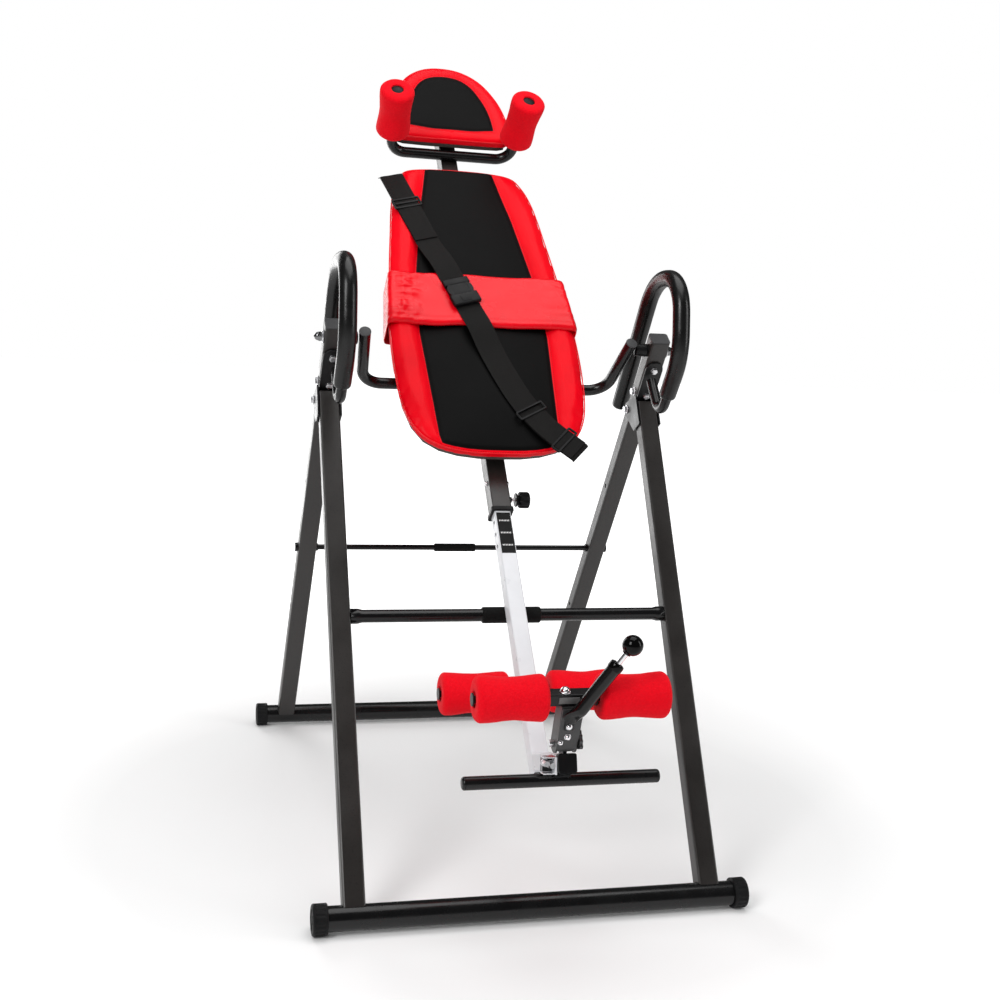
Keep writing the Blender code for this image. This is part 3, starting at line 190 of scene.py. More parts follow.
def mix_colour(material, factor, first, second):
    """Mix of two colours, or of a colour and a socket."""
    made = material.node_tree.nodes.new("ShaderNodeMix")
    made.data_type = "RGBA"
    for socket, value in ((made.inputs[0], factor), (made.inputs[6], first), (made.inputs[7], second)):
        if isinstance(value, bpy.types.NodeSocket):
            material.node_tree.links.new(value, socket)
        else:
            socket.default_value = (*value, 1.0) if isinstance(value, tuple) else value
    return made.outputs[2]


def set_input(material, name, socket):
    material.node_tree.links.new(socket, material.node_tree.nodes["Principled BSDF"].inputs[name])


def add_bump(material, height, distance, strength=1.0):
    """Puts a bump in front of any bump the material already has."""
    shader = material.node_tree.nodes["Principled BSDF"]
    bump = node(material, "Bump", Height=height, Distance=distance, Strength=strength)
    before = shader.inputs["Normal"].links
    if before:
        material.node_tree.links.new(before[0].from_socket, bump.inputs["Normal"])
    material.node_tree.links.new(bump.outputs[0], shader.inputs["Normal"])


def shade(colour, factor):
    return tuple(c * factor for c in colour)


def powder_coat(name, colour, fleck, roughness=0.42):
    """Satin baked powder with a fine orange peel and small dark flecks."""
    made = finish(name, colour, roughness, specular=0.6)
    peel = noise_of(made, 900.0, 3.0)
    flecks = ramp(made, noise_of(made, 480.0, 1.0), 0.64, 0.70)
    patches = ramp(made, noise_of(made, 9.0, 4.0), 0.35, 0.75)
    base = mix_colour(made, patches, colour, shade(colour, 1.5))
    set_input(made, "Base Color", mix_colour(made, flecks, base, fleck))
    set_input(made, "Roughness", ramp(made, patches, 0.0, 1.0, roughness - 0.06, roughness + 0.08))
    add_bump(made, peel, 0.00025, 0.5)
    return made


def gloss_paint(name, colour, roughness, shine=0.5):
    """Smooth sprayed paint: soft long waves in the gloss and slight smudges."""
    made = finish(name, colour, roughness, coat=0.3 * shine, specular=shine)
    smudge = noise_of(made, 30.0, 4.0)
    set_input(made, "Roughness", ramp(made, smudge, 0.3, 0.8, roughness * 0.8, roughness * 1.5))
    set_input(made, "Base Color", mix_colour(made, smudge, shade(colour, 0.92), shade(colour, 1.08)))
    add_bump(made, noise_of(made, 220.0, 2.0), 0.00012, 0.5)
    return made


def bare_metal(name, colour, roughness, grain=(1.0, 1.0, 1.0)):
    """Plated or brushed steel, with a faint grain and dull patches."""
    made = finish(name, colour, roughness, metallic=1.0)
    lines = noise_of(made, 600.0, 2.0, grain)
    dull = noise_of(made, 60.0, 3.0)
    set_input(made, "Roughness", ramp(made, dull, 0.3, 0.8, roughness * 0.8, roughness * 1.7))
    set_input(made, "Base Color", mix_colour(made, lines, shade(colour, 0.85), shade(colour, 1.1)))
    add_bump(made, lines, 0.00006, 0.5)
    return made


def moulded_plastic(name, colour, roughness, texture_scale=1400.0):
    """Injection-moulded plastic with a fine spark-eroded texture."""
    made = finish(name, colour, roughness, specular=0.18)
    grain = noise_of(made, texture_scale, 2.0)
    set_input(made, "Base Color", mix_colour(made, grain, shade(colour, 0.8), shade(colour, 1.3)))
    set_input(made, "Roughness", ramp(made, noise_of(made, 40.0, 3.0), 0.3, 0.8, roughness * 0.85,
                                      min(1.0, roughness * 1.3)))
    add_bump(made, grain, 0.00012, 0.6)
    return made


def foam(name, colour, pale, roughness=0.85):
    """Closed-cell foam: fine open cells on the skin, a soft sheen and mottled colour."""
    made = finish(name, colour, roughness, sheen=0.03, specular=0.08)
    cells = cells_of(made, 900.0)
    mottle = noise_of(made, 300.0, 4.0)
    base = mix_colour(made, ramp(made, mottle, 0.35, 0.7), shade(colour, 0.88), colour)
    set_input(made, "Base Color", mix_colour(made, ramp(made, cells, 0.55, 0.95, 0.0, 0.35), base, pale))
    add_bump(made, noise_of(made, 45.0, 3.0), 0.0012, 0.35)
    add_bump(made, cells, 0.0005, 0.55)
    return made


def skin_foam(name, colour, roughness):
    """Smooth-skinned grip foam: satin, with shallow dimples."""
    made = finish(name, colour, roughness, coat=0.1, specular=0.35)
    dull = noise_of(made, 60.0, 3.0)
    set_input(made, "Roughness", ramp(made, dull, 0.3, 0.8, roughness * 0.8, roughness * 1.3))
    tone = noise_of(made, 150.0, 3.0)
    set_input(made, "Base Color", mix_colour(made, tone, shade(colour, 0.7), shade(colour, 1.4)))
    add_bump(made, noise_of(made, 260.0, 3.0), 0.0003, 0.45)
    return made


def vinyl(name, colour, roughness, shine=0.25):
    """Upholstery vinyl: pebbled grain, soft pull creases and a slight gloss."""
    made = finish(name, colour, roughness, coat=0.05, specular=shine)
    grain_vinyl(made, roughness)
    set_input(made, "Base Color", mix_colour(made, ramp(made, noise_of(made, 14.0, 4.0), 0.3, 0.75),
                                             shade(colour, 0.86), colour))
    return made


def grain_vinyl(made, roughness):
    """Gloss, pull creases and pebbled grain shared by every vinyl."""
    dull = noise_of(made, 25.0, 4.0)
    set_input(made, "Roughness", ramp(made, dull, 0.3, 0.8, roughness * 0.85, roughness * 1.3))
    add_bump(made, noise_of(made, 26.0, 5.0), 0.0015, 0.22)
    add_bump(made, cells_of(made, 850.0, "SMOOTH_F1"), 0.00022, 0.5)


RIB_PITCH = 0.0016
TWILL_PITCH = 0.0030


def webbing(name, colour):
    """Woven nylon: ribs across the strap and a twill along it, from a UV map in metres."""
    made = finish(name, colour, 0.62, sheen=0.02, specular=0.15)
    uv = node(made, "TexCoord").outputs["UV"]
    across, along, _ = node(made, "SeparateXYZ", Vector=uv).outputs

    def wave(value, pitch):
        return math_node(made, "SINE", math_node(made, "MULTIPLY", value, 2 * math.pi / pitch))

    ribs = wave(along, RIB_PITCH)
    threads = wave(math_node(made, "ADD", across, math_node(made, "MULTIPLY", along, 0.5)), TWILL_PITCH)
    level = ramp(made, math_node(made, "ADD", ribs, threads), -2.0, 2.0)
    set_input(made, "Base Color", mix_colour(made, level, shade(colour, 0.5), shade(colour, 2.2)))
    add_bump(made, level, 0.0004, 0.8)
    return made


def stained_plywood(name, colour):
    made = finish(name, colour, 0.65)
    grain = noise_of(made, 40.0, 5.0, (6.0, 0.6, 6.0))
    set_input(made, "Base Color", mix_colour(made, grain, shade(colour, 0.45), shade(colour, 1.6)))
    add_bump(made, grain, 0.0003, 0.6)
    return made


LEG_COAT = powder_coat("leg_powder_coat", (0.0120, 0.0098, 0.0088), (0.0005, 0.0005, 0.0005), 0.36)
TUBE_PAINT = gloss_paint("tube_gloss_black", (0.0025, 0.0025, 0.0028), 0.24, 0.35)
BRACKET_PAINT = gloss_paint("bracket_black", (0.0045, 0.0045, 0.0050), 0.34, 0.3)
WHITE_PAINT = gloss_paint("boom_white", (0.70, 0.71, 0.735), 0.33)
GREY_STEEL = gloss_paint("arm_grey", (0.050, 0.050, 0.051), 0.36, 0.35)
ZINC = bare_metal("zinc_plate", (0.82, 0.82, 0.84), 0.30)
CHROME = bare_metal("chrome_plate", (0.92, 0.92, 0.94), 0.12, (8.0, 1.0, 1.0))
# chrome with a dark base colour: painted dark reflection on the pivot's hex nut and acorn nut
NUT_CHROME_PAINTED_DARK = bare_metal("nut_chrome_painted_dark", (0.22, 0.22, 0.225), 0.13)
DARK_STEEL = bare_metal("toothed_steel", (0.10, 0.10, 0.105), 0.42, (1.0, 6.0, 1.0))
PLASTIC = moulded_plastic("moulded_black", (0.0040, 0.0040, 0.0044), 0.40)
SOFT_PLASTIC = moulded_plastic("end_cap_black", (0.0050, 0.0050, 0.0054), 0.52, 900.0)
BALL_PLASTIC = moulded_plastic("ball_black", (0.0015, 0.0015, 0.0015), 0.07, 60.0)
RED_FOAM = foam("roller_red_foam", (0.84, 0.001, 0.010), (0.95, 0.03, 0.05))
SLEEVE_FOAM = foam("sleeve_black_foam", (0.0045, 0.0045, 0.0045), (0.03, 0.03, 0.03), 0.7)
GRIP_FOAM = skin_foam("grip_black_foam", (0.0030, 0.0030, 0.0030), 0.30)
RED = (0.88, 0.001, 0.010)
BLACK_VINYL_COLOUR = (0.0012, 0.0012, 0.0012)
RED_VINYL = vinyl("red_vinyl", RED, 0.34)
SHINY_VINYL = vinyl("lumbar_vinyl", RED, 0.26, 0.22)
WEBBING = webbing("strap_webbing", (0.0030, 0.0026, 0.0024))
BOARD_WOOD = stained_plywood("board_plywood", (0.05, 0.042, 0.035))
LABEL_BLACK = moulded_plastic("scale_label", (0.004, 0.004, 0.004), 0.5, 500.0)
CAP_GREY = moulded_plastic("grey_plug", (0.060, 0.060, 0.062), 0.45, 700.0)
LEVER_PAINT = gloss_paint("lever_grey_black", (0.0025, 0.0024, 0.0024), 0.22, 0.35)
PLATE_GREY = gloss_paint("plate_grey", (0.12, 0.12, 0.12), 0.40)
LABEL_WHITE = moulded_plastic("scale_ink", (0.80, 0.80, 0.80), 0.5, 500.0)


# ---------------------------------------------------------------- mesh helpers
def circle(radius, steps):
    return [(radius * math.cos(2 * math.pi * i / steps), radius * math.sin(2 * math.pi * i / steps))
            for i in range(steps)]


def rounded_rectangle(width, depth, radius, steps=5):
    out = []
    for i, (sx, sy) in enumerate(((1, 1), (-1, 1), (-1, -1), (1, -1))):
        for k in range(steps + 1):
            angle = (i + k / steps) * math.pi / 2
            out.append((sx * (width / 2 - radius) + radius * math.cos(angle),
                        sy * (depth / 2 - radius) + radius * math.sin(angle)))
    return out


def hexagon(across_flats, steps=4):
    """Hexagon with several points to a side."""
    corner = across_flats / math.sqrt(3)
    out = []
    for i in range(6):
        here, there = (Vector((math.cos(k * math.pi / 3), math.sin(k * math.pi / 3))) * corner
                       for k in (i, i + 1))
        out += [tuple(here.lerp(there, k / steps)) for k in range(steps)]
    return out


def ring(outline, origin, u_axis, v_axis):
    return [origin + u_axis * u + v_axis * v for u, v in outline]


def side_axes(axis):
    """Two directions across an axis: world X first wherever it can be."""
    u_axis = BACK if abs(axis.x) > 0.9 else RIGHT
    u_axis = (u_axis - axis * u_axis.dot(axis)).normalized()
    return u_axis, axis.cross(u_axis)


def rounded_path(corners, step=math.radians(5)):
    """Polyline with each inner corner replaced by an arc; corners are (point, radius)."""
    path = [Vector(corners[0][0])]
    for (before, _), (corner, radius), (after, _) in zip(corners, corners[1:], corners[2:]):
        corner = Vector(corner)
        into = (corner - Vector(before)).normalized()
        out = (Vector(after) - corner).normalized()
        turn = into.angle(out)
        start = corner - into * radius * math.tan(turn / 2)
        side = (out - into * into.dot(out)).normalized()
        count = max(2, round(turn / step))
        for k in range(count + 1):
            angle = turn * k / count
            path.append(start + into * radius * math.sin(angle) + side * radius * (1 - math.cos(angle)))
    path.append(Vector(corners[-1][0]))
    return path


def spline(points_in, steps):
    """Open curve through the points (Catmull-Rom)."""
    given = [Vector(p) for p in points_in]
    padded = [2 * given[0] - given[1]] + given + [2 * given[-1] - given[-2]]
    out = []
    for p0, p1, p2, p3 in zip(padded, padded[1:], padded[2:], padded[3:]):
        for k in range(steps):
            out.append(between(p0, p1, p2, p3, k / steps))
    return out + [given[-1]]


def along_path(path, distance):
    """The rest of a path after a distance along it."""
    for i, (here, there) in enumerate(zip(path, path[1:])):
        length = (there - here).length
        if distance < length:
            return [here.lerp(there, distance / length)] + path[i + 1:]
        distance -= length
    return path


def link(name, data, place=WORLD):
    """A new object in the scene, at its place."""
    made = bpy.data.objects.new(name, data)
    bpy.context.scene.collection.objects.link(made)
    made.matrix_world = place
    return made


def mesh_of(bm, name):
    """Mesh made from a bmesh, which is freed."""
    mesh = bpy.data.meshes.new(name)
    bm.to_mesh(mesh)
    bm.free()
    return mesh


def baked(shown):
    """Copy of an object's mesh with its modifiers applied."""
    bpy.context.view_layer.update()
    return bpy.data.meshes.new_from_object(shown.evaluated_get(bpy.context.evaluated_depsgraph_get()))


class Piece:
    """A visible piece while it is made: shells are added in its own frame, each with a finish."""

    def __init__(self, name, body, *nodes, place=WORLD):
        self.name, self.body, self.nodes, self.place = name, body, nodes, place
        self.bm = bmesh.new()
        self.finishes = []

    def paint(self, faces, material):
        if material not in self.finishes:
            self.finishes.append(material)
        for face in faces:
            face.material_index = self.finishes.index(material)

    def skin(self, rings, material, closed=False):
        """Joins rings into a shell; closed joins the last ring to the first, else both ends are capped."""
        loops = [[self.bm.verts.new(p) for p in points_of] for points_of in rings]
        faces = []
        pairs = list(zip(loops, loops[1:]))
        if closed:
            pairs.append((loops[-1], loops[0]))
        else:
            faces += [self.bm.faces.new(loops[0]), self.bm.faces.new(loops[-1])]
        for lower, upper in pairs:
            for i, vert in enumerate(lower):
                j = (i + 1) % len(lower)
                faces.append(self.bm.faces.new((vert, lower[j], upper[j], upper[i])))
        self.paint(faces, material)

    def bar(self, outline, start, end, material, inner=None, u_axis=None, v_axis=None):
        """Straight bar of one section, or a tube when it has an inner outline."""
        axis = (end - start).normalized()
        if u_axis is None:
            u_axis, v_axis = side_axes(axis)
        rings = [ring(outline, start, u_axis, v_axis), ring(outline, end, u_axis, v_axis)]
        if inner:
            rings += [ring(inner, end, u_axis, v_axis), ring(inner, start, u_axis, v_axis)]
        self.skin(rings, material, closed=bool(inner))

    def lathe(self, origin, axis, profile, material, steps=40, closed=False):
        """Round shell from (distance along the axis, radius) pairs."""
        u_axis, v_axis = side_axes(axis)
        rings = [ring(circle(r, steps), origin + axis * a, u_axis, v_axis) for a, r in profile]
        self.skin(rings, material, closed)

    def sweep(self, path, normal, radius, material, inner=None, steps=28):
        """Round bar or tube along a flat path."""
        def rings_of(r):
            out = []
            for i, point in enumerate(path):
                ahead = path[min(i + 1, len(path) - 1)] - path[max(i - 1, 0)]
                out.append(ring(circle(r, steps), point, normal, ahead.normalized().cross(normal)))
            return out
        if inner:
            self.skin(rings_of(radius) + rings_of(inner)[::-1], material, closed=True)
        else:
            self.skin(rings_of(radius), material)

    def block(self, low, high, material, edge=0.001, place=WORLD):
        """Block with rounded edges."""
        low, high = Vector(low), Vector(high)
        size = Matrix.Diagonal((*(high - low), 1.0))
        at = place @ Matrix.Translation((low + high) / 2) @ size
        made = bmesh.ops.create_cube(self.bm, size=1.0, matrix=at)
        faces = {f for v in made["verts"] for f in v.link_faces}
        self.paint(faces, material)
        if edge:
            edges = {e for v in made["verts"] for e in v.link_edges}
            bmesh.ops.bevel(self.bm, geom=list(edges), offset=edge, segments=3, profile=0.5, affect="EDGES")

    def prism(self, outline, low, high, material, u_axis, v_axis, along, edge=0.0):
        """Flat outline given a thickness, with an eased edge on both faces."""
        if not edge:
            self.skin([ring(outline, along * z, u_axis, v_axis) for z in (low, high)], material)
            return
        small = eased(outline, edge)
        stations = ((low, small), (low + edge, outline), (high - edge, outline), (high, small))
        self.skin([ring(o, along * z, u_axis, v_axis) for z, o in stations], material)

    def washer(self, origin, axis, radius, thick, material):
        edge = thick * 0.3
        profile = [(0, radius - edge), (edge, radius), (thick - edge, radius), (thick, radius - edge)]
        self.lathe(origin, axis, profile, material)

    def hex_head(self, origin, axis, across, height, material):
        """Hexagon head or nut, with its corners turned off on the free face."""
        u_axis, v_axis = side_axes(axis)
        flat = hexagon(across)
        crown = circle(across * 0.46, len(flat))
        stations = ((0.0, flat), (height * 0.78, flat), (height, crown))
        self.skin([ring(o, origin + axis * a, u_axis, v_axis) for a, o in stations], material)

    def bolt_head(self, origin, axis, across, height, material):
        self.washer(origin, axis, across * 0.68, 0.0012, material)
        self.hex_head(origin + axis * 0.0012, axis, across, height, material)

    def nut(self, origin, axis, across, height, thread_r, material):
        """Nut with the end of its bolt standing out."""
        self.bolt_head(origin, axis, across, height, material)
        tip = height + 0.0012
        profile = [(tip - 0.0005, thread_r), (tip + 0.0025, thread_r), (tip + 0.0032, thread_r * 0.8)]
        self.lathe(origin, axis, profile, material, 20)

    def done(self, sharp=35):
        bmesh.ops.recalc_face_normals(self.bm, faces=self.bm.faces)
        mesh = mesh_of(self.bm, self.name)
        mesh.shade_smooth()
        mesh.set_sharp_from_angle(angle=math.radians(sharp))
        for material in self.finishes:
            mesh.materials.append(material)
        made = link(self.name, mesh, self.place)
        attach(made, self.body)
        if self.nodes:
            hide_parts(*self.nodes)
        return made


def dome(base, rise, radius, steps):
    """Quarter-round profile from full radius towards the axis, without its end on the axis."""
    angles = [math.pi / 2 * k / steps for k in range(1, steps)]
    return [(base + rise * math.sin(a), radius * math.cos(a)) for a in angles]


def both_ends(end, length):
    """Profile of a bar from one end's profile, mirrored to its other end."""
    return end + [(length - a, r) for a, r in reversed(end)]


def between(p0, p1, p2, p3, t):
    """Catmull-Rom point between p1 and p2."""
    return 0.5 * (2 * p1 + (p2 - p0) * t + (2 * p0 - 5 * p1 + 4 * p2 - p3) * t ** 2
                  + (3 * p1 - p0 - 3 * p2 + p3) * t ** 3)


def eased(outline, edge):
    """The outline moved in by the edge's width, towards its middle."""
    us, vs = [u for u, _ in outline], [v for _, v in outline]
    mid = Vector(((min(us) + max(us)) / 2, (min(vs) + max(vs)) / 2))
    out = []
    for u, v in outline:
        arm = Vector((u, v)) - mid
        out.append(tuple(mid + arm * max(0.0, 1 - edge / max(arm.length, 1e-6))))
    return out


# ---------------------------------------------------------------- CAD nodes shown as they are
def keep(name, material, bevel=0.0008, segments=2):
    """Shows a CAD node with its own shape: faces joined, edges eased and smooth shading."""
    shown = frame["nodes"][name]
    shown.data.materials.clear()
    shown.data.materials.append(material)
    for polygon in shown.data.polygons:
        polygon.use_smooth = True
        polygon.material_index = 0
    if shown.data.attributes.get("custom_normal"):
        shown.data.attributes.remove(shown.data.attributes["custom_normal"])
    weld = shown.modifiers.new("weld", "WELD")
    weld.merge_threshold = 0.00001
    if bevel:
        ease = shown.modifiers.new("bevel", "BEVEL")
        ease.width = bevel
        ease.segments = segments
        ease.limit_method = "ANGLE"
        ease.angle_limit = math.radians(40)
    shown.modifiers.new("normals", "WEIGHTED_NORMAL").keep_sharp = True
    return shown


def repaint(name, material, chosen):
    """Gives the chosen faces of a CAD node another finish; chosen looks at a face's middle."""
    shown = frame["nodes"][name]
    shown.data.materials.append(material)
    index = len(shown.data.materials) - 1
    for polygon in shown.data.polygons:
        if chosen(polygon.center):
            polygon.material_index = index


LEG_EDGE = 0.0032
PLATE_FRONT = 0.0197


def show_stand():
    for side_name, _ in SIDES:
        for name in (f"rear_leg_{side_name}", f"front_leg_{side_name}"):
            keep(name, LEG_COAT, LEG_EDGE, 3)
        keep(f"hinge_bracket_{side_name}", BRACKET_PAINT)
        keep(f"rear_leg_cap_{side_name}", CAP_GREY, 0.002, 3)
        keep(f"pivot_bush_{side_name}", PLASTIC)
        keep(f"hinge_bolt_{side_name}", ZINC, 0.0004)
        keep(f"lock_bolt_{side_name}", ZINC, 0.0004)
        keep(f"pivot_pin_{side_name}", ZINC, 0.0005)
        plate = f"handle_plate_{side_name}"
        keep(plate, BRACKET_PAINT)
        into_leg = leg_place("rear", side_name)[0].inverted()
        repaint(plate, ZINC, lambda spot, into=into_leg: (into @ spot).y < -PLATE_FRONT)
    keep("rear_base_tube", TUBE_PAINT, 0)
    keep("front_base_tube", TUBE_PAINT, 0)
    keep("rear_rod", TUBE_PAINT, 0.0005)
    keep("front_crossbar", TUBE_PAINT, 0)


ARM_HALF = 0.0165
SKIN = 0.0012


def show_bed_frame():
    keep("main_tube", LEG_COAT, 0.002, 3)
    keep("main_tube_collar", PLASTIC, 0.001)
    keep("selector_housing", BRACKET_PAINT, 0.0006)
    keep("backrest_board", BOARD_WOOD, 0.001)
    keep("headrest_board", BOARD_WOOD, 0.001)
    keep("boom", WHITE_PAINT, 0.0006)
    keep("foot_post", WHITE_PAINT, 0.001)
    keep("foot_post_cap", PLASTIC, 0.0012)
    keep("rear_ankle_shaft", TUBE_PAINT, 0.0004)
    keep("ratchet_plate", DARK_STEEL, 0.0004)
    repaint("ratchet_plate", CHROME, lambda spot: spot.x < -ARM_HALF)
    low, high = local_box("boom", BED)
    into_bed = BED.inverted()

    def inside_boom(spot):
        here = into_bed @ spot
        return abs(here.x) < high.x - SKIN and low.z + SKIN < here.z < high.z - SKIN and here.y > low.y + SKIN
    # the boom's inner walls get black plastic: painted shade inside the tube and its holes
    repaint("boom", PLASTIC, inside_boom)
    keep("ankle_arm", GREY_STEEL, 0.0007)
    keep("front_ankle_bar", BRACKET_PAINT, 0.001)


# ---------------------------------------------------------------- floor tubes' end caps
RIBS = 18
CAP_STEPS = RIBS * 6


def ribbed(radius, depth):
    """Round outline with shallow ribs."""
    return [(radius - depth * (0.5 + 0.5 * math.cos(a * RIBS))) for a in
            (2 * math.pi * i / CAP_STEPS for i in range(CAP_STEPS))]


def base_cap(kind, side_name, side, body):
    """Ribbed foot cap: a skirt round the tube, a domed face with a raised middle."""
    name = f"{kind}_base_cap_{side_name}"
    low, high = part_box(name)
    radius = (high.z - low.z) / 2
    length = high.x - low.x
    origin = Vector((low.x if side > 0 else high.x, *centre(name).yz))
    axis = RIGHT * side
    u_axis, v_axis = side_axes(axis)
    tube_low, tube_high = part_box(f"{kind}_base_tube")
    bore = (tube_high.z - tube_low.z) / 2 + 0.0003
    cap = Piece(name, body, name)
    stations = ((0.0, bore, 0.0), (0.0, radius - 0.0012, 0.0), (0.0012, radius, 0.0), (0.004, radius, 0.0),
                (0.005, radius, 0.0014), (length - 0.005, radius, 0.0014), (length - 0.004, radius, 0.0),
                (length - 0.0022, radius, 0.0), (length - 0.0006, radius - 0.0012, 0.0),
                (length, radius - 0.003, 0.0), (length, radius * 0.70, 0.0),
                (length - 0.0014, radius * 0.66, 0.0), (length - 0.0014, radius * 0.30, 0.0),
                (length - 0.0006, radius * 0.26, 0.0), (length - 0.0006, 0.001, 0.0))
    rings = []
    for along, r, depth in stations:
        radii = ribbed(r, depth)
        outline = [(q * math.cos(2 * math.pi * i / CAP_STEPS), q * math.sin(2 * math.pi * i / CAP_STEPS))
                   for i, q in enumerate(radii)]
        rings.append(ring(outline, origin + axis * along, u_axis, v_axis))
    cap.skin(rings, SOFT_PLASTIC)
    cap.done(30)


# ---------------------------------------------------------------- handles
HANDLE_CORNERS = (((-0.003, -0.057), 0), ((-0.060, -0.119), 0.026), ((-0.141, -0.003), 0.110),
                  ((-0.121, 0.133), 0.070), ((0.010, 0.133), 0.105), ((0.165, -0.115), 0))
GRIP_START = 0.115


def handle(side_name):
    """Oval tube loop, with a foam grip from its front end round to its tail."""
    tube_name, grip_name = f"handle_tube_{side_name}", f"handle_grip_{side_name}"
    low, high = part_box(tube_name)
    grip_low, grip_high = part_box(grip_name)
    x = (low.x + high.x) / 2
    tube_r = (high.x - low.x) / 2
    grip_r = (grip_high.x - grip_low.x) / 2
    corners = [(Vector((x, PIVOT.y + y, PIVOT.z + z)), r) for (y, z), r in HANDLE_CORNERS]
    path = rounded_path(corners)
    tube = Piece(tube_name, "rear_frame", tube_name)
    tube.sweep(path, RIGHT, tube_r, TUBE_PAINT)
    tube.done()
    gripped = along_path(path, GRIP_START)
    end = gripped[-1] + (gripped[-1] - gripped[-2]).normalized() * 0.0035
    grip = Piece(grip_name, "rear_frame", grip_name)
    soft = smooth_ends([*gripped[:-1], end])
    rings = []
    for i, (point, share) in enumerate(soft):
        ahead = soft[min(i + 1, len(soft) - 1)][0] - soft[max(i - 1, 0)][0]
        normal = ahead.normalized().cross(RIGHT)
        swell = 1 + 0.018 * noise.noise(point * 30.0)
        rings.append(ring(circle((tube_r + (grip_r - tube_r) * share) * swell, 32), point, RIGHT, normal))
    grip.skin(rings, GRIP_FOAM)
    grip.done(60)


def smooth_ends(path, soften=0.005):
    """Even points along a path with a share that rounds both ends over a short length."""
    even = resampled(path, 0.006)
    total = sum((b - a).length for a, b in zip(even, even[1:]))
    travelled = 0.0
    starts = [0.0005, 0.0015, 0.003]
    head = [(even[0] + (even[1] - even[0]).normalized() * s, s) for s in starts]
    tail = [(even[-1] - (even[-1] - even[-2]).normalized() * s, total - s) for s in reversed(starts)]
    middle = []
    for a, b in zip(even, even[1:]):
        travelled += (b - a).length
        if soften < travelled < total - soften:
            middle.append((b, travelled))
    out = [(even[0], 0.0)] + head + middle + tail + [(even[-1], total)]
    shares = []
    for point, s in out:
        edge = min(1.0, min(s, total - s) / soften)
        shares.append((point, 0.55 + 0.45 * math.sqrt(1 - (1 - edge) ** 2)))
    return shares


def resampled(path, pitch):
    total = sum((b - a).length for a, b in zip(path, path[1:]))
    count = max(2, round(total / pitch))
    out = []
    for k in range(count + 1):
        rest = total * k / count
        out.append(along_path(path, rest * 0.999999)[0])
    return out


# ---------------------------------------------------------------- bed's bent tubes
CRADLE_LEAN = 0.012


def cradle_tube():
    """Wide U behind the backrest, with a round grey plug in each end."""
    low, high = local_box("cradle_tube", BED)
    radius = (high.y - low.y) / 2
    end_x = high.x - radius
    z = low.z + radius
    bend = 0.040
    corners = [((-end_x, 0, high.z), 0), ((-end_x + CRADLE_LEAN, 0, z), bend),
               ((end_x - CRADLE_LEAN, 0, z), bend), ((end_x, 0, high.z), 0)]
    tube = Piece("cradle_tube", "bed", "cradle_tube", place=BED)
    tube.sweep(rounded_path(corners), BACK, radius, TUBE_PAINT)
    for side in (-1, 1):
        start = Vector((side * end_x, 0, high.z))
        plug = [(-0.002, radius * 0.9), (0.0006, radius + 0.0004), (0.0022, radius),
                (0.0030, radius * 0.8), (0.0033, 0.001)]
        tube.lathe(start, Vector((side * 0.08, 0, 1)).normalized(), plug, CAP_GREY, 32)
    tube.done()


HEAD_ARM_X = 0.130
HEAD_ARM_LEAN = 0.008


def head_bar():
    low, high = local_box("head_bar", BED)
    node_y = (low.y + high.y) / 2
    radius = (high.y - low.y) / 2
    half = HEAD_ARM_X
    z = low.z + radius
    top = high.z
    corners = [((-half - HEAD_ARM_LEAN, node_y, top), 0), ((-half, node_y, z), 0.034),
               ((half, node_y, z), 0.034), ((half + HEAD_ARM_LEAN, node_y, top), 0)]
    tube = Piece("head_bar", "bed", "head_bar", place=BED)
    tube.sweep(rounded_path(corners), BACK, radius, TUBE_PAINT)
    tube.done()


# ---------------------------------------------------------------- foam
PLUG_DEPTH = 0.0035


def foam_roller(name, body, origin, axis, length, radius, bore, plug=False):
    """Foam roller: soft rounded ends, a slight waist and a dimpled skin."""
    rows, steps = 46, 64
    u_axis, v_axis = side_axes(axis)
    edge = 0.011

    def row(along, r, wobble=1.0):
        points_here = []
        for i in range(steps):
            angle = 2 * math.pi * i / steps
            out = u_axis * math.cos(angle) + v_axis * math.sin(angle)
            dent = noise.noise((origin + axis * along + out * r) * 32.0) * 0.0007
            dent += noise.noise((origin + axis * along + out * r) * 85.0) * 0.0003
            points_here.append(origin + axis * along + out * (r + dent * wobble))
        return points_here

    waist = 0.085 * radius
    shell = [row(0.0012, bore, 0.0), row(0.0, bore + 0.0012, 0.3), row(0.0, (bore + radius - edge) / 2, 1.0)]
    deep = edge * 0.8
    angles = [math.pi / 2 * k / 6 for k in range(7)]
    ends = [(deep * (1 - math.cos(a)), radius - edge + edge * math.sin(a)) for a in angles]
    shell += [row(a, r) for a, r in ends]
    for k in range(1, rows):
        share = k / rows
        along = deep + (length - 2 * deep) * share
        shell.append(row(along, radius - waist * math.sin(math.pi * share) ** 2))
    shell += [row(length - a, r) for a, r in reversed(ends)]
    shell += [row(length, (bore + radius - edge) / 2, 1.0), row(length, bore + 0.0012, 0.3),
              row(length - 0.0012, bore, 0.0)]
    piece = Piece(name, body, name)
    piece.skin(shell, RED_FOAM, closed=True)
    if plug:
        cap = length - PLUG_DEPTH
        profile = [(cap - 0.02, bore + 0.0001), (cap, bore + 0.0001),
                   (cap + 0.0012, bore - 0.0015), (cap + 0.0012, 0.0004)]
        piece.lathe(origin, axis, profile, PLASTIC, 32)
    piece.done(70)


ROLLER_SHRINK = 0.0006
HEAD_LEAN_RUN = 0.15
ROLLER_BORE = 0.0125


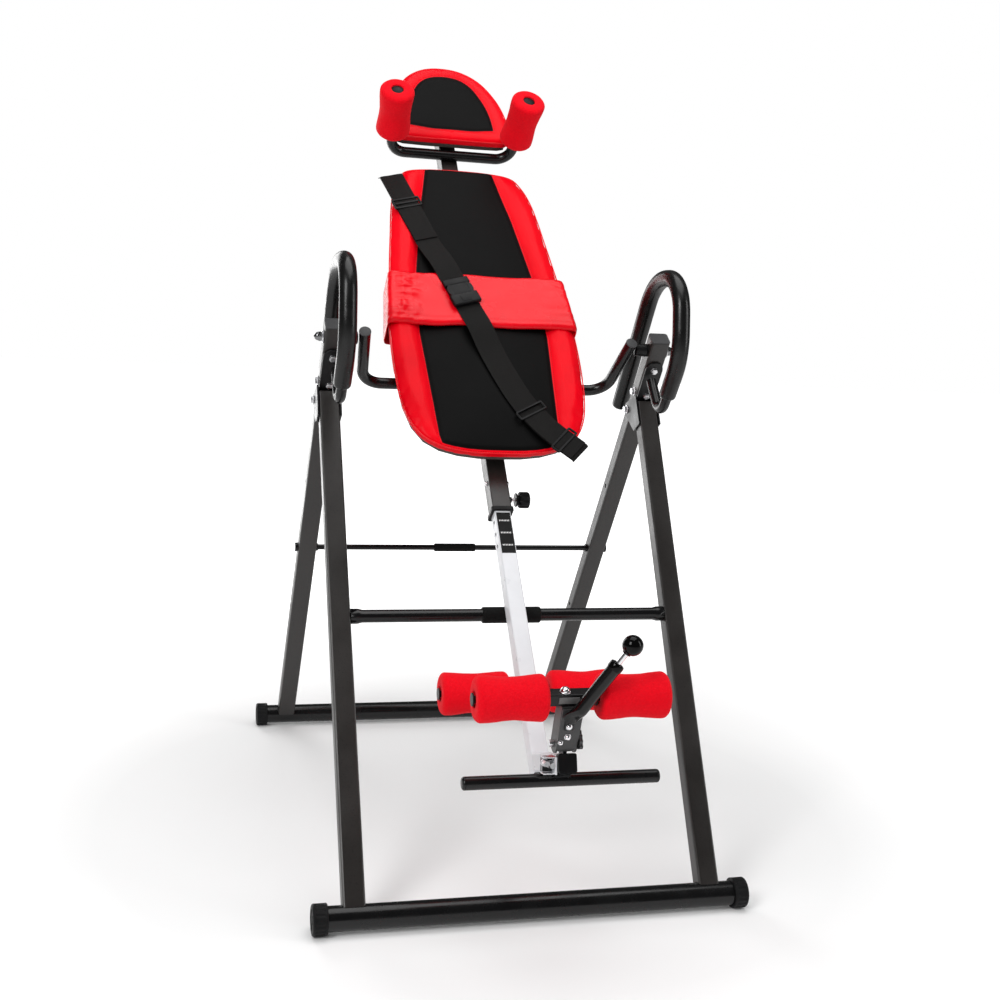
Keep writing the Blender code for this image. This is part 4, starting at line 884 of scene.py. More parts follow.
def rollers():
    for side_name, side in SIDES:
        name = f"head_roller_{side_name}"
        lean = Vector((side * HEAD_ARM_LEAN, 0, HEAD_LEAN_RUN)).normalized()
        found = points(name)
        axis = (BED.to_3x3() @ lean).normalized()
        reach = [p.dot(axis) for p in found]
        middle = on_axis(name, axis)
        start = middle + axis * (min(reach) - middle.dot(axis))
        radius = max(((p - middle) - axis * (p - middle).dot(axis)).length for p in found)
        foam_roller(name, "bed", start, axis, max(reach) - min(reach), radius - ROLLER_SHRINK,
                    ROLLER_BORE, plug=True)
    for kind, axle in (("rear", REAR_AXLE), ("front", FRONT_AXLE)):
        for side_name, side in SIDES:
            name = f"{kind}_ankle_roller_{side_name}"
            low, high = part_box(name)
            start = Vector((low.x, axle.y, axle.z))
            radius = (high.z - low.z) / 2 - ROLLER_SHRINK
            foam_roller(name, f"{kind}_roller_{side_name}", start, RIGHT, high.x - low.x, radius,
                        ROLLER_BORE)


def sleeve(name, body):
    """Black foam sleeve on a rod."""
    origin, length, radius = round_bar(name)
    inner = radius * 0.62
    piece = Piece(name, body, name)
    end = [(0.0, inner), (0.0, radius - 0.002), (0.0008, radius - 0.0006), (0.0022, radius)]
    piece.lathe(origin, RIGHT, both_ends(end, length), SLEEVE_FOAM, 40, closed=True)
    piece.done(50)


def foot_bar():
    """Straight round bar with a slightly domed plug in each end."""
    origin, length, radius = round_bar("foot_bar")
    bar = Piece("foot_bar", "boom", "foot_bar")
    plug = 0.004
    angles = [math.pi / 2 * k / 4 for k in range(5)]
    end = [(plug * (1 - math.cos(a)), radius * (0.55 + 0.45 * math.sin(a))) for a in angles]
    end += [(plug + 0.0002, radius), (plug + 0.0005, radius - 0.0005), (plug + 0.0009, radius)]
    bar.lathe(origin, RIGHT, both_ends(end, length), TUBE_PAINT, 40)
    bar.done(40)


# ---------------------------------------------------------------- upholstery
OUTLINE_PITCH = 0.006


def cad_outline(name):
    """Closed outline of a flat pad in the bed's frame, in order round its middle, smoothed."""
    found = points(name, BED)
    front = max(p.z for p in found)
    corners = {(round(p.x, 5), round(p.y, 5)) for p in found if p.z > front - 0.0005}
    middle = Vector((0.0, sum(c[1] for c in corners) / len(corners)))
    given = sorted((Vector(c) for c in corners), key=lambda c: math.atan2(c.y - middle.y, c.x - middle.x))
    out = []
    count = len(given)
    for i in range(count):
        p0, p1, p2, p3 = (given[(i + k) % count] for k in (-1, 0, 1, 2))
        steps = max(1, round((p2 - p1).length / OUTLINE_PITCH))
        for k in range(steps):
            out.append(between(p0, p1, p2, p3, k / steps))
    return out


def inward(outline, distance):
    """Outline moved in along its own normals."""
    count = len(outline)
    out = []
    for i, point in enumerate(outline):
        ahead = outline[(i + 1) % count] - outline[i - 1]
        out.append(point + Vector((-ahead.y, ahead.x)).normalized() * distance)
    return out


def edge_distance(outline, spots):
    """Distance of each spot inside a closed outline from its edge, negative outside."""
    first = np.array(outline)
    step = np.roll(first, -1, axis=0) - first
    best = np.full(len(spots), 1e9)
    for a, d in zip(first, step):
        t = np.clip(((spots - a) @ d) / (d @ d), 0, 1)
        best = np.minimum(best, np.linalg.norm(spots - a - t[:, None] * d, axis=1))
    return best


def pad_blank(name, outline, back, front, voxel):
    """Plain block of the pad's outline, remeshed into even quads ready for the cloth."""
    bm = bmesh.new()
    loops = [[bm.verts.new((p.x, p.y, z)) for p in outline] for z in (back, front)]
    bm.faces.new(loops[0][::-1])
    bm.faces.new(loops[1])
    for i, low in enumerate(loops[0]):
        j = (i + 1) % len(outline)
        bm.faces.new((low, loops[0][j], loops[1][j], loops[1][i]))
    blank = link(name, mesh_of(bm, name))
    remesh = blank.modifiers.new("even", "REMESH")
    remesh.mode = "VOXEL"
    remesh.voxel_size = voxel
    even = baked(blank)
    blank.modifiers.clear()
    blank.data = even
    return blank


PRESSURE = 4.0
CLOTH_FRAMES = 20
SIDEWAYS = 0.2      # share of the cloth's movement in the plane of the pad, which keeps its outline
VOXEL = 0.005


def inflate(pad, cap, held_vertices):
    """Blows the pad up as cloth held along its seams, then limits how far it has moved."""
    rest = [v.co.copy() for v in pad.data.vertices]
    held = pad.vertex_groups.new(name="held")
    held.add(held_vertices, 1.0, "REPLACE")
    cloth = pad.modifiers.new("cloth", "CLOTH")
    cloth.settings.use_pressure = True
    cloth.settings.uniform_pressure_force = PRESSURE
    cloth.settings.effector_weights.gravity = 0.0
    cloth.settings.quality = 5
    cloth.settings.mass = 0.3
    cloth.settings.tension_stiffness = 12
    cloth.settings.compression_stiffness = 12
    cloth.settings.bending_stiffness = 1.2
    cloth.settings.vertex_group_mass = "held"
    cloth.collision_settings.use_collision = False
    for step in range(1, CLOTH_FRAMES + 1):
        bpy.context.scene.frame_set(step)
    blown = pad.evaluated_get(bpy.context.evaluated_depsgraph_get())
    moved = [v.co.copy() for v in blown.data.vertices]
    pad.modifiers.clear()
    bpy.context.scene.frame_set(1)
    for vert, before, after in zip(pad.data.vertices, rest, moved):
        shift = after - before
        shift.x *= SIDEWAYS
        shift.y *= SIDEWAYS
        if shift.length > cap:
            shift *= cap / shift.length
        vert.co = before + shift


SEAM_LINE = 0.0006
STITCH_OFFSET = 0.0035
STITCH_WIDTH = 0.0004
STITCH_PITCH = 0.0045


def pad_material(name):
    """Red vinyl with a black panel where the 'panel' attribute is positive, and a stitched seam between."""
    made = finish(name, RED, 0.34, specular=0.07)
    grain_vinyl(made, 0.34)
    panel = node(made, "Attribute")
    panel.attribute_name = "panel"
    run = node(made, "Attribute")
    run.attribute_name = "run"
    inside = math_node(made, "GREATER_THAN", panel.outputs["Fac"], 0.0)
    tone = ramp(made, noise_of(made, 14.0, 4.0), 0.3, 0.75)
    red = mix_colour(made, tone, shade(RED, 0.86), RED)
    colour = mix_colour(made, inside, red, BLACK_VINYL_COLOUR)
    gap = math_node(made, "ABSOLUTE", panel.outputs["Fac"])
    groove = math_node(made, "LESS_THAN", gap, SEAM_LINE)
    colour = mix_colour(made, math_node(made, "MULTIPLY", groove, 0.75), colour, (0.02, 0.002, 0.003))
    from_seam = math_node(made, "ABSOLUTE", math_node(made, "ADD", panel.outputs["Fac"], STITCH_OFFSET))
    on_line = math_node(made, "LESS_THAN", from_seam, STITCH_WIDTH)
    dash = math_node(made, "GREATER_THAN", math_node(made, "SINE", math_node(
        made, "MULTIPLY", run.outputs["Fac"], 2 * math.pi / STITCH_PITCH)), -0.2)
    thread = math_node(made, "MULTIPLY", on_line, dash)
    colour = mix_colour(made, math_node(made, "MULTIPLY", thread, 0.55), colour, (0.30, 0.006, 0.010))
    set_input(made, "Base Color", colour)
    add_bump(made, thread, 0.0004, 0.8)
    set_input(made, "Roughness", ramp(made, inside, 0.0, 1.0, 0.33, 0.52))
    return made


def crease(distance, width, depth):
    """Depth of a rounded groove at a distance from its line."""
    return depth * math.exp(-(distance / width) ** 2)


PAD_START_INSET = 0.0016
PAD_CAP = 0.008
PAD_OVER = 0.0015


def pad(name, panel_of, crown, border, middle_seam=False):
    """A padded seat: cloth-blown crowned form, seam grooves, panel mask and stitching."""
    low, high = local_box(name, BED)
    outline = cad_outline(name)
    back = low.z
    front = high.z
    blank = pad_blank(name, inward(outline, PAD_START_INSET), back, front - crown,
                      VOXEL)
    rest = blank.data.vertices
    from_edges = edge_distance(outline, np.array([v.co[:2] for v in rest]))
    held = [v.index for v, from_edge in zip(rest, from_edges)
            if v.co.z < back + 0.0015 or (v.co.z > front - crown - 0.001
                                          and abs(panel_of(v.co.x, v.co.y, from_edge)[0]) < VOXEL * 0.6)]
    inflate(blank, PAD_CAP, held)
    sub = blank.modifiers.new("fine", "SUBSURF")
    sub.levels = 1
    mesh = baked(blank)
    bpy.data.objects.remove(blank)
    spots = np.array([v.co[:2] for v in mesh.vertices])
    edge = edge_distance(outline, spots)
    panel_values, run_values = [], []
    for vert, from_edge in zip(mesh.vertices, edge):
        x, y, z = vert.co
        panel, run = panel_of(x, y, from_edge)
        panel_values.append(panel)
        run_values.append(run)
        on_front = smooth_step((z - back) / (front - back), 0.55, 0.85)
        drop = crease(panel, 0.004, 0.0022)
        if middle_seam and panel < -0.002:
            drop += crease(x, 0.0022, 0.0012)
        vert.co.z -= on_front * drop
        vert.co.z += on_front * noise.noise(Vector((x, y, 0)) * 14.0) * 0.0009
        vert.co.z = min(max(vert.co.z, back), front + PAD_OVER)
    for label, values in (("panel", panel_values), ("run", run_values)):
        mesh.attributes.new(label, "FLOAT", "POINT").data.foreach_set("value", values)
    mesh.shade_smooth()
    mesh.materials.clear()
    mesh.materials.append(pad_material(f"{name}_vinyl"))
    made = link(name, mesh, BED)
    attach(made, "bed")
    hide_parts(name)
    piping(name, outline, back, front, border)
    return made


def smooth_step(value, low, high):
    t = min(max((value - low) / (high - low), 0.0), 1.0)
    return t * t * (3 - 2 * t)


WELT_R = 0.0013


def piping(name, outline, back, front, height):
    """Thin welt round the pad's edge where the face is sewn to the boxing."""
    welt = Piece(f"{name}_welt", "bed", place=BED)
    path = [Vector((p.x, p.y, back + (front - back) * height)) for p in inward(outline, 0.0008)]
    count = len(path)
    rings = []
    for i, point in enumerate(path):
        ahead = (path[(i + 1) % count] - path[i - 1]).normalized()
        normal = ahead.cross(UP)
        rings.append(ring(circle(WELT_R, 8), point, UP, normal))
    welt.skin(rings, RED_VINYL, closed=True)
    welt.done(80)


PANEL_FOOT_GAP = 0.006


def backrest():
    low, high = local_box("backrest_cushion", BED)
    top, bottom = high.y, low.y
    tall = top - bottom

    def half_panel(y):
        """Half width of the black panel: widest over the lower third, narrowing towards the head."""
        share = (y - bottom) / tall
        shares = (0.0, 0.05, 0.38, 0.58, 0.80, 1.0)
        widths = (0.104, 0.112, 0.125, 0.118, 0.096, 0.0695)
        for a, b, wa, wb in zip(shares, shares[1:], widths, widths[1:]):
            if share <= b:
                t = (share - a) / (b - a)
                return wa + (wb - wa) * t
        return widths[-1]

    def panel_of(x, y, from_edge):
        side = half_panel(y) - abs(x)
        foot = from_edge - PANEL_FOOT_GAP if y < bottom + tall / 2 else 1.0
        return (side, y) if side < foot else (foot, x)

    pad("backrest_cushion", panel_of, 0.006, 0.62)


HEAD_BORDER = 0.030


def headrest():
    low, _ = local_box("headrest_cushion", BED)
    foot_line = low.y + 0.006

    def panel_of(x, y, from_edge):
        border = from_edge - HEAD_BORDER * (1 + 0.25 * smooth_step(abs(x), 0.03, 0.11))
        foot = y - foot_line
        return (border, math.atan2(y - low.y, x) * 0.12) if border < foot else (foot, x)

    pad("headrest_cushion", panel_of, 0.006, 0.62, middle_seam=True)


LUMBAR_HALF_LOW = 0.1843
LUMBAR_HALF_HIGH = 0.1738
RIDGE_ACROSS = 0.85


def lumbar_pad():
    """Padded red band slipped over the backrest, gathered on its left and flared on its right."""
    low, high = local_box("lumbar_pad", BED)
    _, cushion_high = local_box("backrest_cushion", BED)
    board_low, _ = local_box("backrest_board", BED)
    columns, rows = 260, 40
    inner_back = board_low.z - 0.0004
    inner_front = cushion_high.z + 0.0012
    corner = 0.006

    def loop_point(share, half):
        """Point and outward normal round the band's section; the share runs 0..1 from the back's middle."""
        cx, cz = half - corner, (inner_front - inner_back) / 2 - corner
        arc = math.pi * corner / 2
        lengths = (cx, arc, 2 * cz, arc, 2 * cx, arc, 2 * cz, arc, cx)
        distance = share * sum(lengths)
        run = 0
        while run < 8 and distance > lengths[run]:
            distance -= lengths[run]
            run += 1
        t = distance / lengths[run]
        back_middle = Vector((0, -cz))
        centres = [Vector(c) for c in ((-cx, -cz), (-cx, cz), (cx, cz), (cx, -cz))]
        if run % 2:
            angle = math.radians(270 - 90 * (run // 2)) - t * math.pi / 2
            middle = centres[run // 2]
        else:
            angle = math.radians(270 - 90 * (run // 2))
            stops = [back_middle, *centres, back_middle]
            middle = stops[run // 2].lerp(stops[run // 2 + 1], t)
        normal = Vector((math.cos(angle), math.sin(angle)))
        return middle + normal * corner + Vector((0, (inner_front + inner_back) / 2)), normal

    bm = bmesh.new()

    def vert_at(s, v, outer):
        y = low.y + (high.y - low.y) * v
        half = LUMBAR_HALF_LOW + (LUMBAR_HALF_HIGH - LUMBAR_HALF_LOW) * v
        point, normal = loop_point(s, half)
        on_front = max(0.0, normal.y) ** 2
        thick = 0.0022 + on_front * 0.0066
        edge = min(v, 1 - v)
        round_off = math.sqrt(max(0.0, 1 - (1 - min(1.0, edge / 0.10)) ** 2))
        grow = thick * (0.35 + 0.65 * round_off) if outer else 0.0
        if outer:
            across = point.x / half
            gather = smooth_step(-across, 0.60, 0.72)
            flare = smooth_step(across, 0.45, 1.0)
            folds = math.sin((y - low.y) * 210 + 5 * noise.noise(Vector((across * 3, y * 20, 1.0))))
            crumple = noise.noise(Vector((across * 9, y * 55, 3.0)))
            from_ridge = across + RIDGE_ACROSS
            pucker = math.exp(-(from_ridge / 0.09) ** 2) * math.sin(y * 620 + 4 * crumple)
            ridge = math.exp(-(from_ridge / 0.016) ** 2)
            soft = noise.noise(Vector((across * 4, y * 24, 7.0)))
            gathered = 0.0012 + folds * 0.0008 + crumple * 0.0048 + pucker * 0.0011 + ridge * 0.0014
            grow += on_front * round_off * (gather * gathered + flare * folds * 0.0006 + soft * 0.0012)
            grow -= on_front * crease(v - 0.10, 0.02, 0.0010)
            grow = max(grow, 0.0008)
        y += (0.0016 * math.sin(s * 31) + 0.0022 * noise.noise(Vector((s * 14, v, 5.0)))) * (2 * abs(v - 0.5))
        place_at = point + normal * grow
        return (place_at.x, y, place_at.y)

    def grid(lines, on_outside):
        return [[bm.verts.new(vert_at(i / columns, j / rows, on_outside)) for j in lines]
                for i in range(columns)]

    outer = grid(range(rows + 1), True)
    inner = grid((0, rows), False)
    for i in range(columns):
        k = (i + 1) % columns
        for j in range(rows):
            bm.faces.new((outer[i][j], outer[k][j], outer[k][j + 1], outer[i][j + 1]))
        bm.faces.new((outer[i][0], inner[i][0], inner[k][0], outer[k][0]))
        bm.faces.new((outer[k][rows], inner[k][1], inner[i][1], outer[i][rows]))
        bm.faces.new((inner[i][0], inner[i][1], inner[k][1], inner[k][0]))
    bmesh.ops.recalc_face_normals(bm, faces=bm.faces)
    band = mesh_of(bm, "lumbar_pad")
    band.shade_smooth()
    band.materials.append(SHINY_VINYL)
    made = link("lumbar_pad", band, BED)
    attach(made, "bed")
    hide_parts("lumbar_pad")


# ---------------------------------------------------------------- strap and buckles
def strap_line():
    """Middle line of the CAD strap in the bed's frame: its sections, four corners each, in order."""
    corners = {tuple(round(c, 5) for c in p) for p in points("safety_strap", BED)}
    found = [Vector(c) for c in corners]
    low, high = box_of(found)
    chord = Vector((high.x - low.x, low.y - high.y, 0)).normalized()
    found.sort(key=lambda p: p.dot(chord))
    return [sum(found[i:i + 4], Vector()) / 4 for i in range(0, len(found) - 3, 4)]


STRAP_WIDTH = 0.050
STRAP_HALF_THICK = 0.0009
STRAP_PITCH = 0.004


def strap_path():
    line = strap_line()
    even = resampled(spline(line, 6), STRAP_PITCH)
    first = (even[0] - even[1]).normalized()
    last = (even[-1] - even[-2]).normalized()
    over_start = [even[0] + first * (0.004 * k) + Vector((0, 0, -0.0045 * k ** 1.7 / 2)) for k in (2, 1)]
    over_end = [even[-1] + last * (0.004 * k) + Vector((0, 0, -0.0045 * k ** 1.7 / 2)) for k in (1,)]
    return over_start + even + over_end


def strap_frame(path, i):
    """Origin, across, along and outward directions at a point of the strap."""
    along = (path[min(i + 2, len(path) - 1)] - path[max(i - 2, 0)]).normalized()
    flat = Vector((along.x, along.y, 0)).normalized()
    across = Vector((flat.y, -flat.x, 0))
    return path[i], across, along, across.cross(along)


def ribbon(name, path, width, lift=0.0, span=(0.0, 1.0)):
    """Woven strap along part of a path, with a slight wave and a UV map in metres."""
    bm = bmesh.new()
    uv = bm.loops.layers.uv.new("UVMap")
    columns = 10
    first = round(span[0] * (len(path) - 1))
    last = round(span[1] * (len(path) - 1))
    section = [(-0.5 + k / columns, 1) for k in range(columns + 1)]
    section += [(0.5 - k / columns, -1) for k in range(columns + 1)]
    rings, coords = [], []
    for i in range(first, last + 1):
        origin, across, _, out = strap_frame(path, i)
        here = []
        for u, side in section:
            edge = 1.0 if abs(u) < 0.49 else 0.55
            wave = 0.0007 * noise.noise(Vector((u * 2, i * STRAP_PITCH * 14, 2.0)))
            here.append(bm.verts.new(origin + across * (u * width) + out * (lift + wave + side * edge
                                                                            * STRAP_HALF_THICK)))
        rings.append(here)
        coords.append(i * STRAP_PITCH)
    count = len(section)
    for a, b, va, vb in zip(rings, rings[1:], coords, coords[1:]):
        for i in range(count):
            j = (i + 1) % count
            face = bm.faces.new((a[i], a[j], b[j], b[i]))
            us = [section[i][0] * width, section[j][0] * width]
            for loop, spot in zip(face.loops, ((us[0], va), (us[1], va), (us[1], vb), (us[0], vb))):
                loop[uv].uv = spot
    bm.faces.new(rings[0])
    bm.faces.new(rings[-1])
    bmesh.ops.recalc_face_normals(bm, faces=bm.faces)
    mesh = mesh_of(bm, name)
    mesh.shade_smooth()
    mesh.set_sharp_from_angle(angle=math.radians(50))
    mesh.materials.append(WEBBING)
    made = link(name, mesh, BED)
    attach(made, "bed")
    return made


def strap_place(path, share):
    """Matrix on the strap at a share of its length: X across, Y along it, Z outward."""
    origin, across, along, out = strap_frame(path, round(share * (len(path) - 1)))
    return BED @ Matrix.Translation(origin) @ Matrix((across, along, out)).transposed().to_4x4()


def frame_loop(piece, width, length, bar, thick, low, material):
    """Rectangular ring for a strap, made of one closed shell with rounded bars."""
    outer = rounded_rectangle(width, length, 0.003, 4)
    inner = rounded_rectangle(width - 2 * bar, length - 2 * bar, 0.0015, 4)
    ease = thick * 0.25
    stations = ((low, eased(outer, ease)), (low + ease, outer), (low + thick - ease, outer),
                (low + thick, eased(outer, ease)), (low + thick, eased(inner, -ease)),
                (low + thick - ease, inner), (low + ease, inner), (low, eased(inner, -ease)))
    piece.skin([ring(o, UP * z, RIGHT, BACK) for z, o in stations], material, closed=True)


BUCKLE_SHARE = 0.458
# outline of the buckle's springy prong: distance out from the strap's edge, and place along the strap
PRONG = ((-0.002, 0.006), (0.0015, -0.004), (0.001, -0.014), (-0.006, -0.024), (-0.011, -0.024),
         (-0.007, -0.012), (-0.008, 0.006))


def safety_strap():
    path = strap_path()
    strap = ribbon("safety_strap", path, STRAP_WIDTH)
    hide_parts("safety_strap")
    ribbon("strap_upper_fold", path, STRAP_WIDTH * 0.98, 0.0024, (0.012, 0.245))
    ribbon("strap_lower_fold", path, STRAP_WIDTH * 0.98, 0.0024, (0.850, 0.990))
    slider = Piece("strap_slider", "bed", place=strap_place(path, 0.115))
    frame_loop(slider, STRAP_WIDTH + 0.010, 0.026, 0.004, 0.0040, 0.0012, PLASTIC)
    half = STRAP_WIDTH / 2
    slider.block((-half - 0.001, -0.0025, 0.0030), (half + 0.001, 0.0025, 0.0056), PLASTIC)
    slider.done(35)
    for i, share in enumerate((0.840, 0.946)):
        loop = Piece(f"strap_loop_{i + 1}", "bed", place=strap_place(path, share))
        frame_loop(loop, STRAP_WIDTH + 0.012, 0.020, 0.0038, 0.0042, 0.0012, PLASTIC)
        loop.done(35)
    buckle = Piece("strap_buckle", "bed", place=strap_place(path, BUCKLE_SHARE))
    buckle.block((-half - 0.004, 0.004, 0.0012), (half + 0.004, 0.030, 0.0100), PLASTIC, 0.0025)
    buckle.block((-half + 0.006, -0.022, 0.0022), (half - 0.006, 0.006, 0.0080), PLASTIC, 0.0018)
    for side in (-1, 1):
        prong = [(side * (half + out), y) for out, y in PRONG]
        buckle.prism(prong, 0.0024, 0.0082, PLASTIC, RIGHT, BACK, UP)
    buckle.block((-half - 0.002, -0.036, 0.0012), (half + 0.002, -0.020, 0.0085), PLASTIC, 0.0022)
    buckle.block((-0.010, 0.010, 0.0098), (0.010, 0.025, 0.0106), PLASTIC, 0.0003)
    buckle.done(35)


# ---------------------------------------------------------------- small hardware
ACORN_R = 0.0076


def pivot_pin(side_name, side):
    """Boss on the cradle, axle, washers, and a chrome hex nut and acorn nut whose dark base colour is a
    painted dark reflection.
    """
    name = f"pivot_pin_{side_name}"
    found = points(name)
    reach = [side * p.x for p in found]
    inner, outer = min(reach), max(reach)
    bush_low, bush_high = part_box(f"pivot_bush_{side_name}")
    boss_end = min(abs(bush_low.x), abs(bush_high.x)) - 0.0006
    face = outer - 0.017
    origin = Vector((0, PIVOT.y, PIVOT.z))
    axis = RIGHT * side
    pin = Piece(name, "bed", name)
    pin.lathe(origin, axis, [(inner, 0.0095), (inner + 0.001, 0.0115), (boss_end - 0.001, 0.012),
                             (boss_end, 0.011)], BRACKET_PAINT)
    pin.lathe(origin, axis, [(boss_end - 0.001, 0.0059), (face, 0.0059)], ZINC, 24)
    pin.washer(origin + axis * face, axis, 0.0125, 0.0018, ZINC)
    pin.washer(origin + axis * (face + 0.0018), axis, 0.0098, 0.0014, CHROME)
    pin.hex_head(origin + axis * (face + 0.0032), axis, 0.0165, 0.0062, NUT_CHROME_PAINTED_DARK)
    crown = face + 0.0088
    acorn = [(crown, ACORN_R)] + dome(crown, ACORN_R, ACORN_R, 8) + [(outer, 0.0006)]
    pin.lathe(origin, axis, acorn, NUT_CHROME_PAINTED_DARK, 32)
    pin.done(35)


def selector_knob():
    """Fluted pull knob with a flanged neck, on its steel pin."""
    low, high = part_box("selector_knob")
    origin = Vector((0, (low.y + high.y) / 2, (low.z + high.z) / 2))
    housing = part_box("selector_housing")[1].x
    knob = Piece("selector_knob", "selector", "selector_knob")
    neck = housing + 0.0068
    knob.lathe(origin, RIGHT, [(low.x, 0.0022), (low.x + 0.0012, 0.003), (neck + 0.001, 0.003)], ZINC, 24)
    flange = ((0.0, 0.0062), (0.0, 0.0118), (0.0008, 0.0126), (0.0022, 0.0126), (0.0030, 0.0112),
              (0.0042, 0.0088), (0.0062, 0.0088))
    knob.lathe(origin, RIGHT, [(neck + a, r) for a, r in flange], PLASTIC, 48)
    steps = 96
    flutes = 8
    radius = (high.z - low.z) / 2

    def fluted(r, depth):
        out = []
        for i in range(steps):
            angle = 2 * math.pi * i / steps
            dip = max(0.0, math.cos(angle * flutes)) ** 1.6
            q = r - depth * dip
            out.append((q * math.cos(angle), q * math.sin(angle)))
        return out

    start = neck + 0.0055
    u_axis, v_axis = side_axes(RIGHT)
    stations = ((start, radius * 0.62, 0.0), (start + 0.001, radius * 0.86, 0.0012),
                (start + 0.003, radius, 0.0022), (high.x - 0.003, radius, 0.0024),
                (high.x - 0.001, radius * 0.93, 0.0016), (high.x, radius * 0.78, 0.0006),
                (high.x, radius * 0.40, 0.0), (high.x - 0.0007, radius * 0.36, 0.0))
    knob.skin([ring(fluted(r, d), origin + RIGHT * x, u_axis, v_axis) for x, r, d in stations], PLASTIC)
    knob.done(38)


def on_axis(name, direction):
    """A point on the axis of a round node, from its box in a frame turned to that axis."""
    place = axes(Vector(), RIGHT, direction)
    low, high = local_box(name, place)
    middle = (low + high) / 2
    return place @ Vector((middle.x, middle.y, 0.0))


LEVER_FLAT_RUN = 0.030
LEVER_STEPS = 44
BALL_R = 0.0155


def lever():
    """Tube pulled by the user: flattened where it is bolted on, with a black end bush."""
    found = points("ankle_lever")
    reach = [p.dot(LEVER_AXIS) for p in found]
    origin = on_axis("ankle_lever", LEVER_AXIS)
    low, high = min(reach), max(reach)
    radius = max(((p - origin) - LEVER_AXIS * (p - origin).dot(LEVER_AXIS)).length for p in found) - 0.001
    to_plate = ARM.col[1].to_3d()
    thin = (to_plate - LEVER_AXIS * to_plate.dot(LEVER_AXIS)).normalized()
    wide = LEVER_AXIS.cross(thin)
    piece = Piece("ankle_lever", "ankle_arm", "ankle_lever")
    rings = []
    for k in range(15):
        share = k / 14
        rounder = smooth_step(share, 0.15, 1.0)
        across = radius * (1.16 - 0.16 * rounder) * (0.62 + 0.38 * min(1.0, share * 6) ** 0.5)
        depth = radius * (0.34 + 0.66 * rounder)
        shift = (radius - depth) * 0.9
        rings.append(ring([(u * depth + shift, v * across) for u, v in circle(1.0, LEVER_STEPS)],
                          origin + LEVER_AXIS * (low + LEVER_FLAT_RUN * share), thin, wide))
    end = high - 0.010
    bore = 0.0046
    rings.append(ring(circle(radius, LEVER_STEPS), origin + LEVER_AXIS * end, thin, wide))
    piece.skin(rings, LEVER_PAINT)
    bush = [(end - 0.0004, bore), (end - 0.0004, radius + 0.0006), (end + 0.0006, radius + 0.0010),
            (high - 0.003, radius + 0.0010), (high - 0.0008, radius + 0.0004), (high, radius - 0.0012),
            (high - 0.0008, radius - 0.0028), (high - 0.0040, bore + 0.0012), (high - 0.0040, bore)]
    piece.lathe(origin, LEVER_AXIS, bush, BALL_PLASTIC, 48, closed=True)
    piece.done(40)
    rod = Piece("release_rod", "release", "release_rod")
    top = max(p.dot(LEVER_AXIS) for p in points("release_rod"))
    ball = top - BALL_R * 0.995
    rod.lathe(origin, LEVER_AXIS, [(high - 0.012, 0.004), (ball - BALL_R * 0.9, 0.004)], CHROME, 32)
    profile = [(ball - BALL_R * 1.04, 0.0052), (ball - BALL_R * 1.0, 0.0066)]
    for k in range(25):
        angle = math.radians(-64 + 153 * k / 24)
        profile.append((ball + BALL_R * math.sin(angle), max(0.0004, BALL_R * math.cos(angle))))
    rod.lathe(origin, LEVER_AXIS, profile, BALL_PLASTIC, 56)
    rod.done(50)


def dome_bolt(piece, origin, axis, radius, height, material):
    """Carriage bolt or dome nut: washer and low dome."""
    piece.washer(origin, axis, radius * 1.18, 0.0011, ZINC)
    shoulder = height * 0.35
    profile = [(0.0010, radius), (shoulder, radius)] + dome(shoulder, height - shoulder, radius, 9)
    piece.lathe(origin, axis, profile, material, 28)


BAR_HALF = 0.010
TAB_THICK = 0.0035
FACE_LOW = -0.0035


def arm_hardware():
    """Chrome bolts on the arm's front plate, the lever's tab, the bar's carriage bolt and inset plate."""
    low, high = local_box("ankle_arm", ARM)
    face = low.y
    out = -BACK
    piece = Piece("ankle_arm_bolts", "ankle_arm", place=ARM)
    piece.block((-0.0105, face - TAB_THICK, 0.036), (0.0045, face, 0.064), LEVER_PAINT, 0.001)
    dome_bolt(piece, Vector((-0.0036, face - TAB_THICK, 0.0425)), out, 0.0042, 0.0044, CHROME)
    dome_bolt(piece, Vector((-0.0023, face, 0.0222)), out, 0.0046, 0.0058, CHROME)
    dome_bolt(piece, Vector((-0.0118, face, 0.0125)), out, 0.0036, 0.0052, CHROME)
    piece.done(35)
    cover = Piece("ankle_arm_face", "ankle_arm", place=ARM)
    foot = rounded_path([((low.x, 0, 0.060), 0), ((low.x - 0.0012, 0, FACE_LOW), 0.007),
                         ((high.x - 0.003, 0, FACE_LOW), 0.009), ((high.x, 0, 0.066), 0)])
    shape = [(p.x, p.z) for p in foot]
    cover.skin([ring(shape, Vector((0, y, 0)), RIGHT, UP)
                for y in (face - 0.0006, face + 0.0006)], GREY_STEEL)
    cover.done(30)
    middle = (FRONT_AXLE - ARM_PIVOT).length
    top = Piece("ankle_bar_bolt", "ankle_arm", place=ARM)
    dome_bolt(top, Vector((-0.0115, 0.0, middle + BAR_HALF)), UP, 0.0070, 0.0076, CHROME)
    top.done(35)
    plate = Piece("ankle_bar_plate", "ankle_arm", place=ARM)
    plate.block((-0.0225, -BAR_HALF - 0.0014, middle - 0.0045), (0.0090, -BAR_HALF + 0.0002, middle + 0.0062),
                PLATE_GREY, 0.0004)
    plate.done(35)


CLIP_WIDE = 0.0205
CLIP_RISE = 0.008
CLIP_HALF = 0.0130


